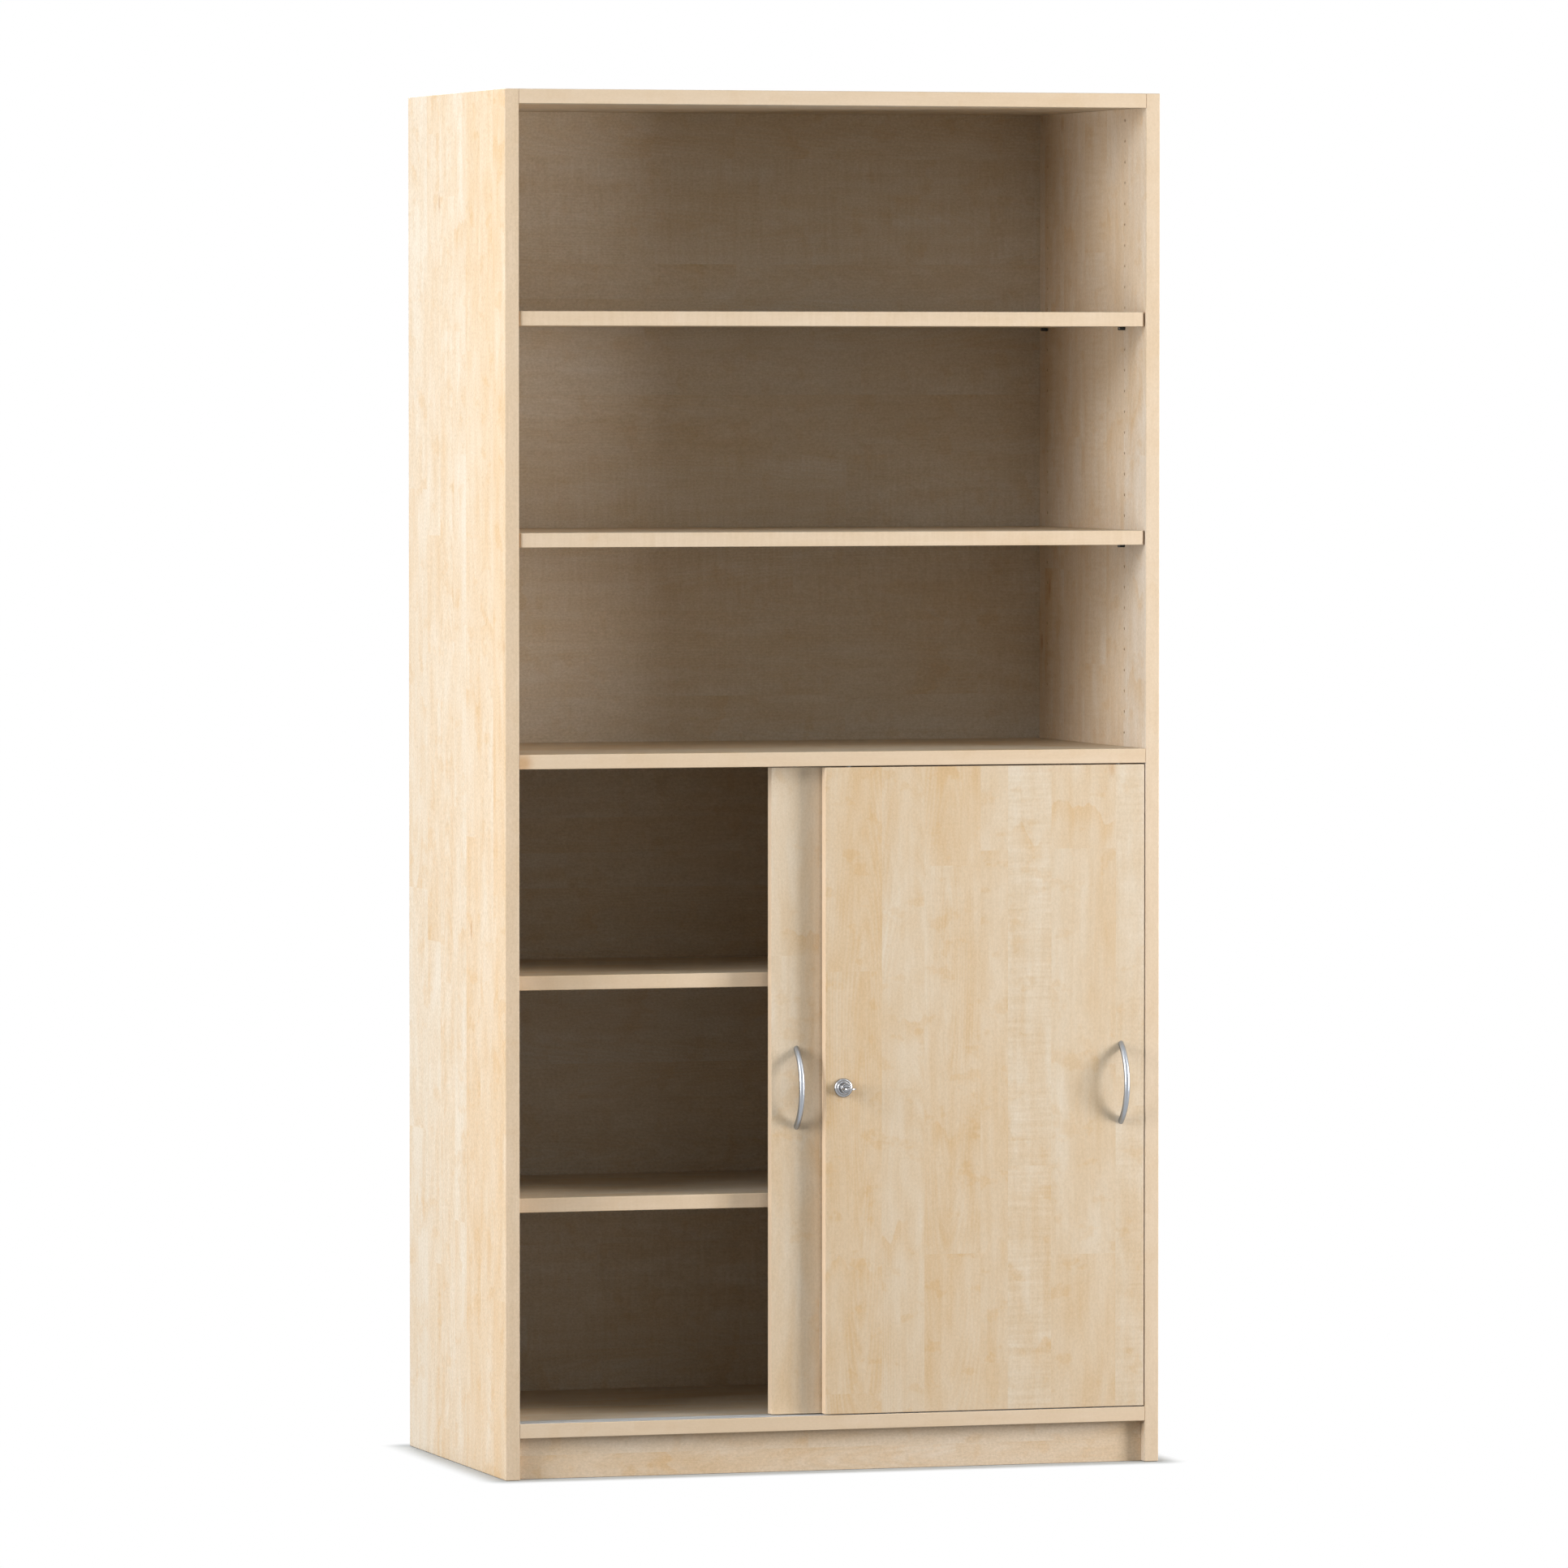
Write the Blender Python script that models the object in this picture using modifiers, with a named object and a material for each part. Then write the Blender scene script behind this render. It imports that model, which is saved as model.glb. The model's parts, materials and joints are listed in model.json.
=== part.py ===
"""A tall sliding door cabinet in maple-faced board: three open compartments, and under them three
more behind two doors that slide past each other in double tracks.

Lengths are in metres. +X is to the right as seen from the front, +Y to the back, +Z up. The origin
is on the floor, in the middle of the footprint counted with the key that stands out in front.
"""

import math

import bmesh
import bpy
from mathutils import Euler, Matrix, Vector

# Carcass
CABINET_WIDTH = 1.040
CABINET_DEPTH = 0.567
CABINET_HEIGHT = 2.100
BOARD_THICKNESS = 0.022
EDGE_RADIUS = 0.001
DOOR_SECTION_HEIGHT = 0.990
PLINTH_HEIGHT = 0.063
PLINTH_THICKNESS = 0.019
PLINTH_SETBACK = 0.018
BACK_THICKNESS = 0.008
BACK_RECESS = 0.036
BACK_GROOVE_DEPTH = 0.008

# Clearances and cuts
SEAT_GAP = 0.0003
CUT_OVERRUN = 0.002
MERGE_DISTANCE = 0.00005

# Shelves and what they rest on
SHELVES_IN_A_SECTION = 2
OPEN_SHELF_SETBACK = 0.003
DOOR_SHELF_SETBACK = 0.060
SHELF_END_GAP = 0.0015
SHELF_BACK_GAP = 0.003
SHELF_CORNER_RADIUS = 0.0045
PIN_HOLE_RADIUS = 0.0025
PIN_HOLE_DEPTH = 0.009
PIN_HOLE_PITCH = 0.032
PIN_HOLE_END_MARGIN = 0.004
PIN_HOLE_SIDES = 6
FRONT_HOLES_SETBACK = 0.103
REAR_HOLES_FROM_BACK = 0.039
PIN_SHANK_LENGTH = 0.0085
PIN_TONGUE_LENGTH = 0.010
PIN_TONGUE_WIDTH = 0.008
PIN_TONGUE_HEIGHT = 0.005
PIN_TONGUE_ROUNDING = 0.001

# Doors
DOOR_THICKNESS = 0.019
DOOR_SETBACK = 0.001
DOOR_SPACING = 0.004
DOOR_SIDE_GAP = 0.0015
DOOR_TOP_GAP = 0.002
DOOR_BOTTOM_GAP = 0.0015
FRONT_DOOR_PAST_MIDDLE = 0.015
REAR_DOOR_PAST_MIDDLE = 0.030
OPEN_HANDLE_GAP = 0.0347

# Double tracks, let in flush below and above the doors
TRACK_FRONT_MARGIN = 0.0075
TRACK_REAR_MARGIN = 0.0165
TRACK_HEIGHT = 0.008
TRACK_GROOVE_WIDTH = 0.0065
TRACK_GROOVE_DEPTH = 0.0065

# Rollers in the doors' bottom edges
ROLLER_INSET = 0.070
WHEEL_RADIUS = 0.012
WHEEL_WIDTH = 0.0045
WHEEL_RIM_ROUNDING = 0.0008
WHEEL_HUB_RADIUS = 0.0045
WHEEL_WEB_WIDTH = 0.0025
WHEEL_RIM_THICKNESS = 0.003
WHEEL_SIDE_GAP = 0.00075
WHEEL_TURNING_GAP = 0.001
AXLE_RADIUS = 0.0015
HOUSING_LENGTH = 0.050
HOUSING_WIDTH = 0.011
HOUSING_HEIGHT = 0.024

# Guide pins in the doors' top edges
GUIDE_INSET = 0.040
GUIDE_BODY_RADIUS = 0.005
GUIDE_BODY_LENGTH = 0.020
GUIDE_TIP_LENGTH = 0.007
GUIDE_TIP_CHAMFER = 0.001

# Bow handles
HANDLE_BAR_RADIUS = 0.0045
HANDLE_CHORD = 0.117
HANDLE_REACH = 0.0285
HANDLE_ABOVE_MIDDLE = 0.005
FRONT_HANDLE_INSET = 0.0372
REAR_HANDLE_INSET = 0.0400
HANDLE_ARC_STEPS = 20
HANDLE_SCREW_SPACING = 0.114
HANDLE_SCREW_RADIUS = 0.002
HANDLE_SCREW_BITE = 0.0036
SCREW_HEAD_RADIUS = 0.004
SCREW_HEAD_HEIGHT = 0.0025
SCREW_HEAD_SINK = 0.003
SCREW_SOCKET_WIDTH = 0.0025
SCREW_SOCKET_DEPTH = 0.0015

# Push lock, told from the front door's face along its axis
LOCK_INSET = 0.0283
LOCK_PROJECTION = 0.017
ROSETTE_RADIUS = 0.0147
ROSETTE_HEIGHT = 0.006
ROSETTE_RIM_HEIGHT = 0.002
CASE_RADIUS = 0.010
CASE_FLANGE_RADIUS = 0.012
CASE_FLANGE_THICKNESS = 0.0015
CASE_FLOOR_THICKNESS = 0.003
CYLINDER_RADIUS = 0.008
CYLINDER_FACE_CHAMFER = 0.0008
BOLT_RADIUS = 0.004
PLUG_RADIUS = 0.0055
PLUG_LENGTH = 0.0195
PLUG_PROUD = 0.0003
KEYWAY_DEPTH = 0.0175
KEY_THICKNESS = 0.0022
KEY_BLADE_HALF_WIDTH = 0.0035
KEY_BLADE_LENGTH = 0.0165
KEY_TIP_LENGTH = 0.002
KEY_NECK_LENGTH = 0.0035
KEY_BOW_RADIUS = 0.0106
KEY_HOLE_RADIUS = 0.0035
SPRING_RADIUS = 0.0069
SPRING_WIRE_RADIUS = 0.00035
SPRING_TURNS = 3
SPRING_STEPS_A_TURN = 12
SPRING_LENGTH = 0.0117
STRIKE_RADIUS = 0.006
STRIKE_LENGTH = 0.013
STRIKE_FLOOR_THICKNESS = 0.001
STRIKE_PLAY = 0.0006

# Steps round turned pieces
FINE_STEPS = 28
ROUND_STEPS = 18
SMALL_STEPS = 12
SMOOTH_UNDER = math.radians(40)

# Looks: colour, roughness and metallic value
MAPLE = ((0.80, 0.60, 0.37, 1), 0.50, 0.0)
SATIN_ALUMINIUM = ((0.62, 0.64, 0.67, 1), 0.32, 1.0)
ZINC_STEEL = ((0.55, 0.56, 0.58, 1), 0.35, 1.0)
NICKEL = ((0.60, 0.61, 0.63, 1), 0.22, 1.0)
DARK_PLASTIC = ((0.030, 0.032, 0.030, 1), 0.45, 0.0)
GREY_NYLON = ((0.35, 0.35, 0.34, 1), 0.50, 0.0)

# Planes across the depth, from the front to the back
FORWARD_REACH = (
    LOCK_PROJECTION + PLUG_PROUD + KEY_NECK_LENGTH + 2 * KEY_BOW_RADIUS - DOOR_SETBACK
)
FRONT_Y = (FORWARD_REACH - CABINET_DEPTH) / 2
REAR_Y = FRONT_Y + CABINET_DEPTH
FRONT_DOOR_FACE_Y = FRONT_Y + DOOR_SETBACK
FRONT_DOOR_BACK_Y = FRONT_DOOR_FACE_Y + DOOR_THICKNESS
REAR_DOOR_FACE_Y = FRONT_DOOR_BACK_Y + DOOR_SPACING
REAR_DOOR_BACK_Y = REAR_DOOR_FACE_Y + DOOR_THICKNESS
FRONT_LANE_Y = (FRONT_DOOR_FACE_Y + FRONT_DOOR_BACK_Y) / 2
REAR_LANE_Y = (REAR_DOOR_FACE_Y + REAR_DOOR_BACK_Y) / 2
BACK_REAR_Y = REAR_Y - BACK_RECESS
BACK_FACE_Y = BACK_REAR_Y - BACK_THICKNESS
FRONT_HOLES_Y = FRONT_Y + FRONT_HOLES_SETBACK
REAR_HOLES_Y = BACK_FACE_Y - REAR_HOLES_FROM_BACK

# Planes across the width, from the left to the right
LEFT_X = -CABINET_WIDTH / 2
RIGHT_X = CABINET_WIDTH / 2
INNER_LEFT_X = LEFT_X + BOARD_THICKNESS
INNER_RIGHT_X = RIGHT_X - BOARD_THICKNESS
FRONT_DOOR_RIGHT_X = INNER_RIGHT_X - DOOR_SIDE_GAP
FRONT_DOOR_LEFT_X = -FRONT_DOOR_PAST_MIDDLE
FRONT_DOOR_WIDTH = FRONT_DOOR_RIGHT_X - FRONT_DOOR_LEFT_X
FRONT_HANDLE_X = FRONT_DOOR_RIGHT_X - FRONT_HANDLE_INSET
LOCK_X = FRONT_DOOR_LEFT_X + LOCK_INSET
REAR_DOOR_CLOSED_X = INNER_LEFT_X + DOOR_SIDE_GAP
REAR_DOOR_WIDTH = REAR_DOOR_PAST_MIDDLE - REAR_DOOR_CLOSED_X
REAR_HANDLE_X = FRONT_DOOR_LEFT_X - OPEN_HANDLE_GAP - HANDLE_BAR_RADIUS
REAR_DOOR_LEFT_X = REAR_HANDLE_X - REAR_HANDLE_INSET
STRIKE_X = LOCK_X + REAR_DOOR_LEFT_X - REAR_DOOR_CLOSED_X

# Planes up the height, from the floor up
BOTTOM_PANEL_TOP_Z = PLINTH_HEIGHT + BOARD_THICKNESS
MIDDLE_PANEL_UNDERSIDE_Z = BOTTOM_PANEL_TOP_Z + DOOR_SECTION_HEIGHT
MIDDLE_PANEL_TOP_Z = MIDDLE_PANEL_UNDERSIDE_Z + BOARD_THICKNESS
TOP_PANEL_UNDERSIDE_Z = CABINET_HEIGHT - BOARD_THICKNESS
DOOR_BOTTOM_Z = BOTTOM_PANEL_TOP_Z + DOOR_BOTTOM_GAP
DOOR_TOP_Z = MIDDLE_PANEL_UNDERSIDE_Z - DOOR_TOP_GAP
HANDLE_Z = (DOOR_BOTTOM_Z + DOOR_TOP_Z) / 2 + HANDLE_ABOVE_MIDDLE
LOCK_Z = HANDLE_Z
TRACK_FLOOR_Z = BOTTOM_PANEL_TOP_Z - TRACK_GROOVE_DEPTH
AXLE_Z = TRACK_FLOOR_Z + SEAT_GAP + WHEEL_RADIUS


def empty_the_scene():
    for thing in list(bpy.data.objects):
        bpy.data.objects.remove(thing)


def new_collection(name):
    collection = bpy.data.collections.new(name)
    bpy.context.scene.collection.children.link(collection)
    return collection


empty_the_scene()
PIECES = new_collection("sliding_door_cabinet")
CUTTERS = new_collection("cutters")
CUTTERS.hide_render = True


def new_object(name, mesh, location, collection):
    thing = bpy.data.objects.new(name, mesh)
    thing.location = location
    collection.objects.link(thing)
    if collection is CUTTERS:
        thing.hide_render = True
        thing.display_type = "WIRE"
    return thing


def dress(piece, look):
    """Gives the piece a material of its own with this colour, roughness and metallic value."""
    colour, roughness, metallic = look
    material = bpy.data.materials.new(piece.name + "_finish")
    material.use_nodes = True
    shader = material.node_tree.nodes["Principled BSDF"]
    shader.inputs["Base Color"].default_value = colour
    shader.inputs["Roughness"].default_value = roughness
    shader.inputs["Metallic"].default_value = metallic
    material.diffuse_color = colour
    piece.data.materials.clear()
    piece.data.materials.append(material)
    return piece


def box(name, low, high, collection=PIECES):
    """A block between two corners, with its origin in its middle."""
    low = Vector(low)
    high = Vector(high)
    shape = bmesh.new()
    bmesh.ops.create_cube(shape, size=1)
    bmesh.ops.scale(shape, vec=high - low, verts=shape.verts)
    mesh = bpy.data.meshes.new(name)
    shape.to_mesh(mesh)
    shape.free()
    return new_object(name, mesh, (low + high) / 2, collection)


def add_prism(shape, centre, radius, length, sides, turn):
    """Adds an upright round bar to a bmesh, laid along the axis that the turn gives."""
    place = Matrix.Translation(centre) @ turn.to_matrix().to_4x4()
    bmesh.ops.create_cone(
        shape,
        cap_ends=True,
        segments=sides,
        radius1=radius,
        radius2=radius,
        depth=length,
        matrix=place,
    )


def realised(piece):
    """Puts what the modifiers, or the curve's bevel, make into one plain welded mesh."""
    bpy.context.view_layer.update()
    depsgraph = bpy.context.evaluated_depsgraph_get()
    mesh = bpy.data.meshes.new_from_object(piece.evaluated_get(depsgraph))
    shape = bmesh.new()
    shape.from_mesh(mesh)
    bmesh.ops.remove_doubles(shape, verts=shape.verts, dist=MERGE_DISTANCE)
    shape.to_mesh(mesh)
    shape.free()
    mesh.shade_smooth()
    mesh.set_sharp_from_angle(angle=SMOOTH_UNDER)
    return mesh


def turned(name, outline, steps, location, lying=True, ring=False, collection=PIECES):
    """A turned piece. The outline's points are (radius, reach), from the far end of the outer side
    down. A lying piece has its axis along Y, with the reach told towards the front."""
    mesh = bpy.data.meshes.new(name)
    points = [(radius, 0, reach) for radius, reach in outline]
    edges = [(i, i + 1) for i in range(len(points) - 1)]
    if ring:
        edges.append((len(points) - 1, 0))
    mesh.from_pydata(points, edges, [])
    piece = new_object(name, mesh, location, collection)
    screw = piece.modifiers.new("turn", "SCREW")
    screw.axis = "Z"
    screw.angle = math.tau
    screw.steps = steps
    screw.render_steps = steps
    screw.use_merge_vertices = True
    screw.merge_threshold = MERGE_DISTANCE
    piece.data = realised(piece)
    piece.modifiers.clear()
    if lying:
        piece.rotation_euler = (math.radians(90), 0, 0)
    return piece


def from_curve(curve_object):
    """Swaps a curve object for a mesh object of the same name and place."""
    mesh = realised(curve_object)
    name = curve_object.name
    collection = curve_object.users_collection[0]
    bpy.context.view_layer.update()
    place = curve_object.matrix_world.copy()
    bpy.data.objects.remove(curve_object)
    piece = new_object(name, mesh, place.translation, collection)
    piece.rotation_euler = place.to_euler()
    return piece


def tube(name, points, radius, bevel_resolution, location):
    """A round bar along a line of points, with closed ends."""
    curve = bpy.data.curves.new(name, "CURVE")
    curve.dimensions = "3D"
    curve.bevel_depth = radius
    curve.bevel_resolution = bevel_resolution
    curve.use_fill_caps = True
    spline = curve.splines.new("POLY")
    spline.points.add(len(points) - 1)
    for point, place in zip(spline.points, points):
        point.co = (*place, 1)
    return from_curve(new_object(name, curve, location, PIECES))


def flat_outline(name, loops, thickness, location):
    """A flat piece in the XY plane, cut along closed loops of points; inner loops are holes."""
    curve = bpy.data.curves.new(name, "CURVE")
    curve.dimensions = "2D"
    curve.fill_mode = "BOTH"
    curve.extrude = thickness / 2
    for loop in loops:
        spline = curve.splines.new("POLY")
        spline.points.add(len(loop) - 1)
        spline.use_cyclic_u = True
        for point, (x, y) in zip(spline.points, loop):
            point.co = (x, y, 0, 1)
    return from_curve(new_object(name, curve, location, PIECES))


def round_edges(piece, radius, segments=2, chosen=None):
    """Rounds the right-angled edges, or only those whose two ends pass the test."""
    bevel = piece.modifiers.new("rounding", "BEVEL")
    bevel.width = radius
    bevel.segments = segments
    if chosen is None:
        bevel.limit_method = "ANGLE"
        bevel.angle_limit = math.radians(60)
        return
    bevel.limit_method = "WEIGHT"
    weights = piece.data.attributes.new("bevel_weight_edge", "FLOAT", "EDGE")
    for edge in piece.data.edges:
        ends = [piece.data.vertices[i].co for i in edge.vertices]
        weights.data[edge.index].value = float(chosen(*ends))


def along_x(start, end):
    return start.y == end.y and start.z == end.z


def cut(piece, cutter):
    """Takes the cutter's shape out of the piece."""
    boolean = piece.modifiers.new(cutter.name, "BOOLEAN")
    boolean.operation = "DIFFERENCE"
    boolean.solver = "EXACT"
    boolean.object = cutter


def joint_empty(name, location):
    """The moving part of a joint: what is attached to it moves with it."""
    empty = new_object(name, None, location, PIECES)
    empty.empty_display_size = BOARD_THICKNESS
    return empty


def attach(child, parent):
    """Parents a piece and leaves it where it is."""
    bpy.context.view_layer.update()
    child.parent = parent
    child.matrix_parent_inverse = parent.matrix_world.inverted()


def back_groove(board_name, low, high):
    return box(board_name + "_back_groove", low, high, CUTTERS)


def pin_height(shelf_underside):
    """The height of the pins' axes that carry a shelf."""
    return shelf_underside - SEAT_GAP - PIN_TONGUE_HEIGHT / 2


def shelf_undersides(section_floor, section_ceiling):
    """The undersides of the shelves that share a section evenly, from the lowest up."""
    clear_height = section_ceiling - section_floor - SHELVES_IN_A_SECTION * BOARD_THICKNESS
    compartment = clear_height / (SHELVES_IN_A_SECTION + 1)
    step = compartment + BOARD_THICKNESS
    return [section_floor + compartment + i * step for i in range(SHELVES_IN_A_SECTION)]


SECTIONS = (
    (BOTTOM_PANEL_TOP_Z, MIDDLE_PANEL_UNDERSIDE_Z),
    (MIDDLE_PANEL_TOP_Z, TOP_PANEL_UNDERSIDE_Z),
)


def hole_heights():
    """Each shelf's own hole row runs down from its pins to the board below, and the row of the
    highest shelf of a section runs up to the board above as well."""
    heights = []
    for section_floor, section_ceiling in SECTIONS:
        board_below_top = section_floor
        for underside in shelf_undersides(section_floor, section_ceiling):
            height = pin_height(underside)
            while height > board_below_top + PIN_HOLE_END_MARGIN:
                heights.append(height)
                height -= PIN_HOLE_PITCH
            board_below_top = underside + BOARD_THICKNESS
        height = pin_height(underside) + PIN_HOLE_PITCH
        while height < section_ceiling - PIN_HOLE_END_MARGIN:
            heights.append(height)
            height += PIN_HOLE_PITCH
    return heights


def hole_rows_cutter(name, inner_x, into_the_board):
    """All pin holes of one side board: a front row and a rear row, bored along X."""
    shape = bmesh.new()
    lying_along_x = Euler((0, math.radians(90), 0))
    length = PIN_HOLE_DEPTH + CUT_OVERRUN
    middle_x = inner_x + into_the_board * (PIN_HOLE_DEPTH - CUT_OVERRUN) / 2
    for y in (FRONT_HOLES_Y, REAR_HOLES_Y):
        for z in hole_heights():
            centre = Vector((middle_x, y, z))
            add_prism(shape, centre, PIN_HOLE_RADIUS, length, PIN_HOLE_SIDES, lying_along_x)
    mesh = bpy.data.meshes.new(name)
    shape.to_mesh(mesh)
    shape.free()
    return new_object(name, mesh, (0, 0, 0), CUTTERS)


def make_side(name, outer_x, inner_x):
    """A side board with its groove for the back and its two rows of pin holes."""
    low = (min(outer_x, inner_x), FRONT_Y, 0)
    high = (max(outer_x, inner_x), REAR_Y, CABINET_HEIGHT)
    into_the_board = math.copysign(1, outer_x - inner_x)
    side = box(name, low, high)
    round_edges(side, EDGE_RADIUS)
    groove_ends = sorted(
        (inner_x - into_the_board * CUT_OVERRUN, inner_x + into_the_board * BACK_GROOVE_DEPTH)
    )
    groove_bottom = BOTTOM_PANEL_TOP_Z - BACK_GROOVE_DEPTH
    groove_top = TOP_PANEL_UNDERSIDE_Z + BACK_GROOVE_DEPTH
    groove_low = (groove_ends[0], BACK_FACE_Y - SEAT_GAP, groove_bottom)
    groove_high = (groove_ends[1], BACK_REAR_Y + SEAT_GAP, groove_top)
    cut(side, back_groove(name, groove_low, groove_high))
    cut(side, hole_rows_cutter(name + "_pin_holes", inner_x, into_the_board))
    return dress(side, MAPLE)


def make_horizontal(name, underside, rear_y):
    """A fixed board between the sides, with its long edges rounded."""
    low = (INNER_LEFT_X + SEAT_GAP, FRONT_Y, underside)
    high = (INNER_RIGHT_X - SEAT_GAP, rear_y, underside + BOARD_THICKNESS)
    board = box(name, low, high)
    round_edges(board, EDGE_RADIUS, chosen=along_x)
    return dress(board, MAPLE)


def groove_board(board, low_z, high_z):
    """Cuts the back's groove along a horizontal board."""
    low = (INNER_LEFT_X - CUT_OVERRUN, BACK_FACE_Y - SEAT_GAP, low_z)
    high = (INNER_RIGHT_X + CUT_OVERRUN, BACK_REAR_Y + SEAT_GAP, high_z)
    cut(board, back_groove(board.name, low, high))


TRACK_FRONT_Y = FRONT_LANE_Y - TRACK_FRONT_MARGIN
TRACK_REAR_Y = REAR_LANE_Y + TRACK_REAR_MARGIN


def rebate_for_track(board, low_z, high_z):
    """Cuts the seat of a track along a horizontal board."""
    low = (INNER_LEFT_X - CUT_OVERRUN, TRACK_FRONT_Y - SEAT_GAP, low_z)
    high = (INNER_RIGHT_X + CUT_OVERRUN, TRACK_REAR_Y + SEAT_GAP, high_z)
    cut(board, box(board.name + "_track_rebate", low, high, CUTTERS))


def make_track(name, low_z, groove_low_z, groove_high_z):
    """A double track: a flat bar with one groove for each door's lane."""
    low = (INNER_LEFT_X + SEAT_GAP, TRACK_FRONT_Y, low_z)
    high = (INNER_RIGHT_X - SEAT_GAP, TRACK_REAR_Y, low_z + TRACK_HEIGHT)
    track = box(name, low, high)
    for lane, lane_y in (("front", FRONT_LANE_Y), ("rear", REAR_LANE_Y)):
        groove_low = (low[0] - CUT_OVERRUN, lane_y - TRACK_GROOVE_WIDTH / 2, groove_low_z)
        groove_high = (high[0] + CUT_OVERRUN, lane_y + TRACK_GROOVE_WIDTH / 2, groove_high_z)
        cut(track, box(name + "_groove_" + lane, groove_low, groove_high, CUTTERS))
    return dress(track, SATIN_ALUMINIUM)


def make_carcass():
    make_side("left_side", LEFT_X, INNER_LEFT_X)
    make_side("right_side", RIGHT_X, INNER_RIGHT_X)

    top_panel = make_horizontal("top_panel", TOP_PANEL_UNDERSIDE_Z, REAR_Y)
    groove_top = TOP_PANEL_UNDERSIDE_Z + BACK_GROOVE_DEPTH
    groove_board(top_panel, TOP_PANEL_UNDERSIDE_Z - CUT_OVERRUN, groove_top)

    middle_rear_y = BACK_FACE_Y - SEAT_GAP
    middle_panel = make_horizontal("middle_panel", MIDDLE_PANEL_UNDERSIDE_Z, middle_rear_y)
    rebate_top = MIDDLE_PANEL_UNDERSIDE_Z + TRACK_HEIGHT + SEAT_GAP
    rebate_for_track(middle_panel, MIDDLE_PANEL_UNDERSIDE_Z - CUT_OVERRUN, rebate_top)

    bottom_panel = make_horizontal("bottom_panel", PLINTH_HEIGHT, REAR_Y)
    groove_bottom = BOTTOM_PANEL_TOP_Z - BACK_GROOVE_DEPTH
    groove_board(bottom_panel, groove_bottom, BOTTOM_PANEL_TOP_Z + CUT_OVERRUN)
    rebate_bottom = BOTTOM_PANEL_TOP_Z - TRACK_HEIGHT - SEAT_GAP
    rebate_for_track(bottom_panel, rebate_bottom, BOTTOM_PANEL_TOP_Z + CUT_OVERRUN)

    plinth_low = (INNER_LEFT_X + SEAT_GAP, FRONT_Y + PLINTH_SETBACK, 0)
    plinth_high_y = FRONT_Y + PLINTH_SETBACK + PLINTH_THICKNESS
    plinth_high = (INNER_RIGHT_X - SEAT_GAP, plinth_high_y, PLINTH_HEIGHT - SEAT_GAP)
    dress(box("plinth", plinth_low, plinth_high), MAPLE)

    reach_into_groove = BACK_GROOVE_DEPTH - SEAT_GAP
    back_low = (
        INNER_LEFT_X - reach_into_groove,
        BACK_FACE_Y,
        BOTTOM_PANEL_TOP_Z - reach_into_groove,
    )
    back_high = (
        INNER_RIGHT_X + reach_into_groove,
        BACK_REAR_Y,
        TOP_PANEL_UNDERSIDE_Z + reach_into_groove,
    )
    dress(box("back_panel", back_low, back_high), MAPLE)

    bottom_track_z = BOTTOM_PANEL_TOP_Z - TRACK_HEIGHT
    make_track("bottom_track", bottom_track_z, TRACK_FLOOR_Z, BOTTOM_PANEL_TOP_Z + CUT_OVERRUN)
    top_groove_roof = MIDDLE_PANEL_UNDERSIDE_Z + TRACK_GROOVE_DEPTH
    top_groove_mouth = MIDDLE_PANEL_UNDERSIDE_Z - CUT_OVERRUN
    make_track("top_track", MIDDLE_PANEL_UNDERSIDE_Z, top_groove_mouth, top_groove_roof)


def make_shelf_pin(name, wall_x, into_the_board, y, z):
    """A pin in its hole, with a flat tongue that the shelf lies on."""
    shank_radius = PIN_HOLE_RADIUS - SEAT_GAP
    tongue_length = PIN_TONGUE_LENGTH
    half_width = PIN_TONGUE_WIDTH / 2
    half_height = PIN_TONGUE_HEIGHT / 2
    tongue_ends = sorted(
        (
            wall_x - into_the_board * SEAT_GAP,
            wall_x - into_the_board * (SEAT_GAP + tongue_length),
        )
    )
    pin = box(
        name,
        (tongue_ends[0], y - half_width, z - half_height),
        (tongue_ends[1], y + half_width, z + half_height),
    )
    round_edges(pin, PIN_TONGUE_ROUNDING, segments=1)
    shape = bmesh.new()
    shank_start = -(SEAT_GAP + tongue_length / 2)
    shank_length = PIN_SHANK_LENGTH - shank_start
    middle_x = wall_x + into_the_board * (PIN_SHANK_LENGTH + shank_start) / 2
    lying_along_x = Euler((0, math.radians(90), 0))
    centre = Vector((middle_x, y, z))
    add_prism(shape, centre, shank_radius, shank_length, PIN_HOLE_SIDES, lying_along_x)
    mesh = bpy.data.meshes.new(name + "_shank")
    shape.to_mesh(mesh)
    shape.free()
    shank = new_object(name + "_shank", mesh, (0, 0, 0), CUTTERS)
    join = pin.modifiers.new("shank", "BOOLEAN")
    join.operation = "UNION"
    join.solver = "EXACT"
    join.object = shank
    return dress(pin, DARK_PLASTIC)


def make_shelf(name, underside, setback):
    """A loose shelf with rounded front corners, and the four pins under it."""
    low = (INNER_LEFT_X + SHELF_END_GAP, FRONT_Y + setback, underside)
    rear_y = BACK_FACE_Y - SHELF_BACK_GAP
    high = (INNER_RIGHT_X - SHELF_END_GAP, rear_y, underside + BOARD_THICKNESS)
    shelf = box(name, low, high)

    def front_corner(start, end):
        return start.x == end.x and start.y == end.y and start.y < 0

    round_edges(shelf, SHELF_CORNER_RADIUS, segments=4, chosen=front_corner)
    round_edges(shelf, EDGE_RADIUS)
    dress(shelf, MAPLE)
    for side_name, wall_x in (("left", INNER_LEFT_X), ("right", INNER_RIGHT_X)):
        into_the_board = math.copysign(1, wall_x)
        for row_name, y in (("front", FRONT_HOLES_Y), ("rear", REAR_HOLES_Y)):
            pin_name = "_".join((name, "pin", side_name, row_name))
            make_shelf_pin(pin_name, wall_x, into_the_board, y, pin_height(underside))


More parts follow.
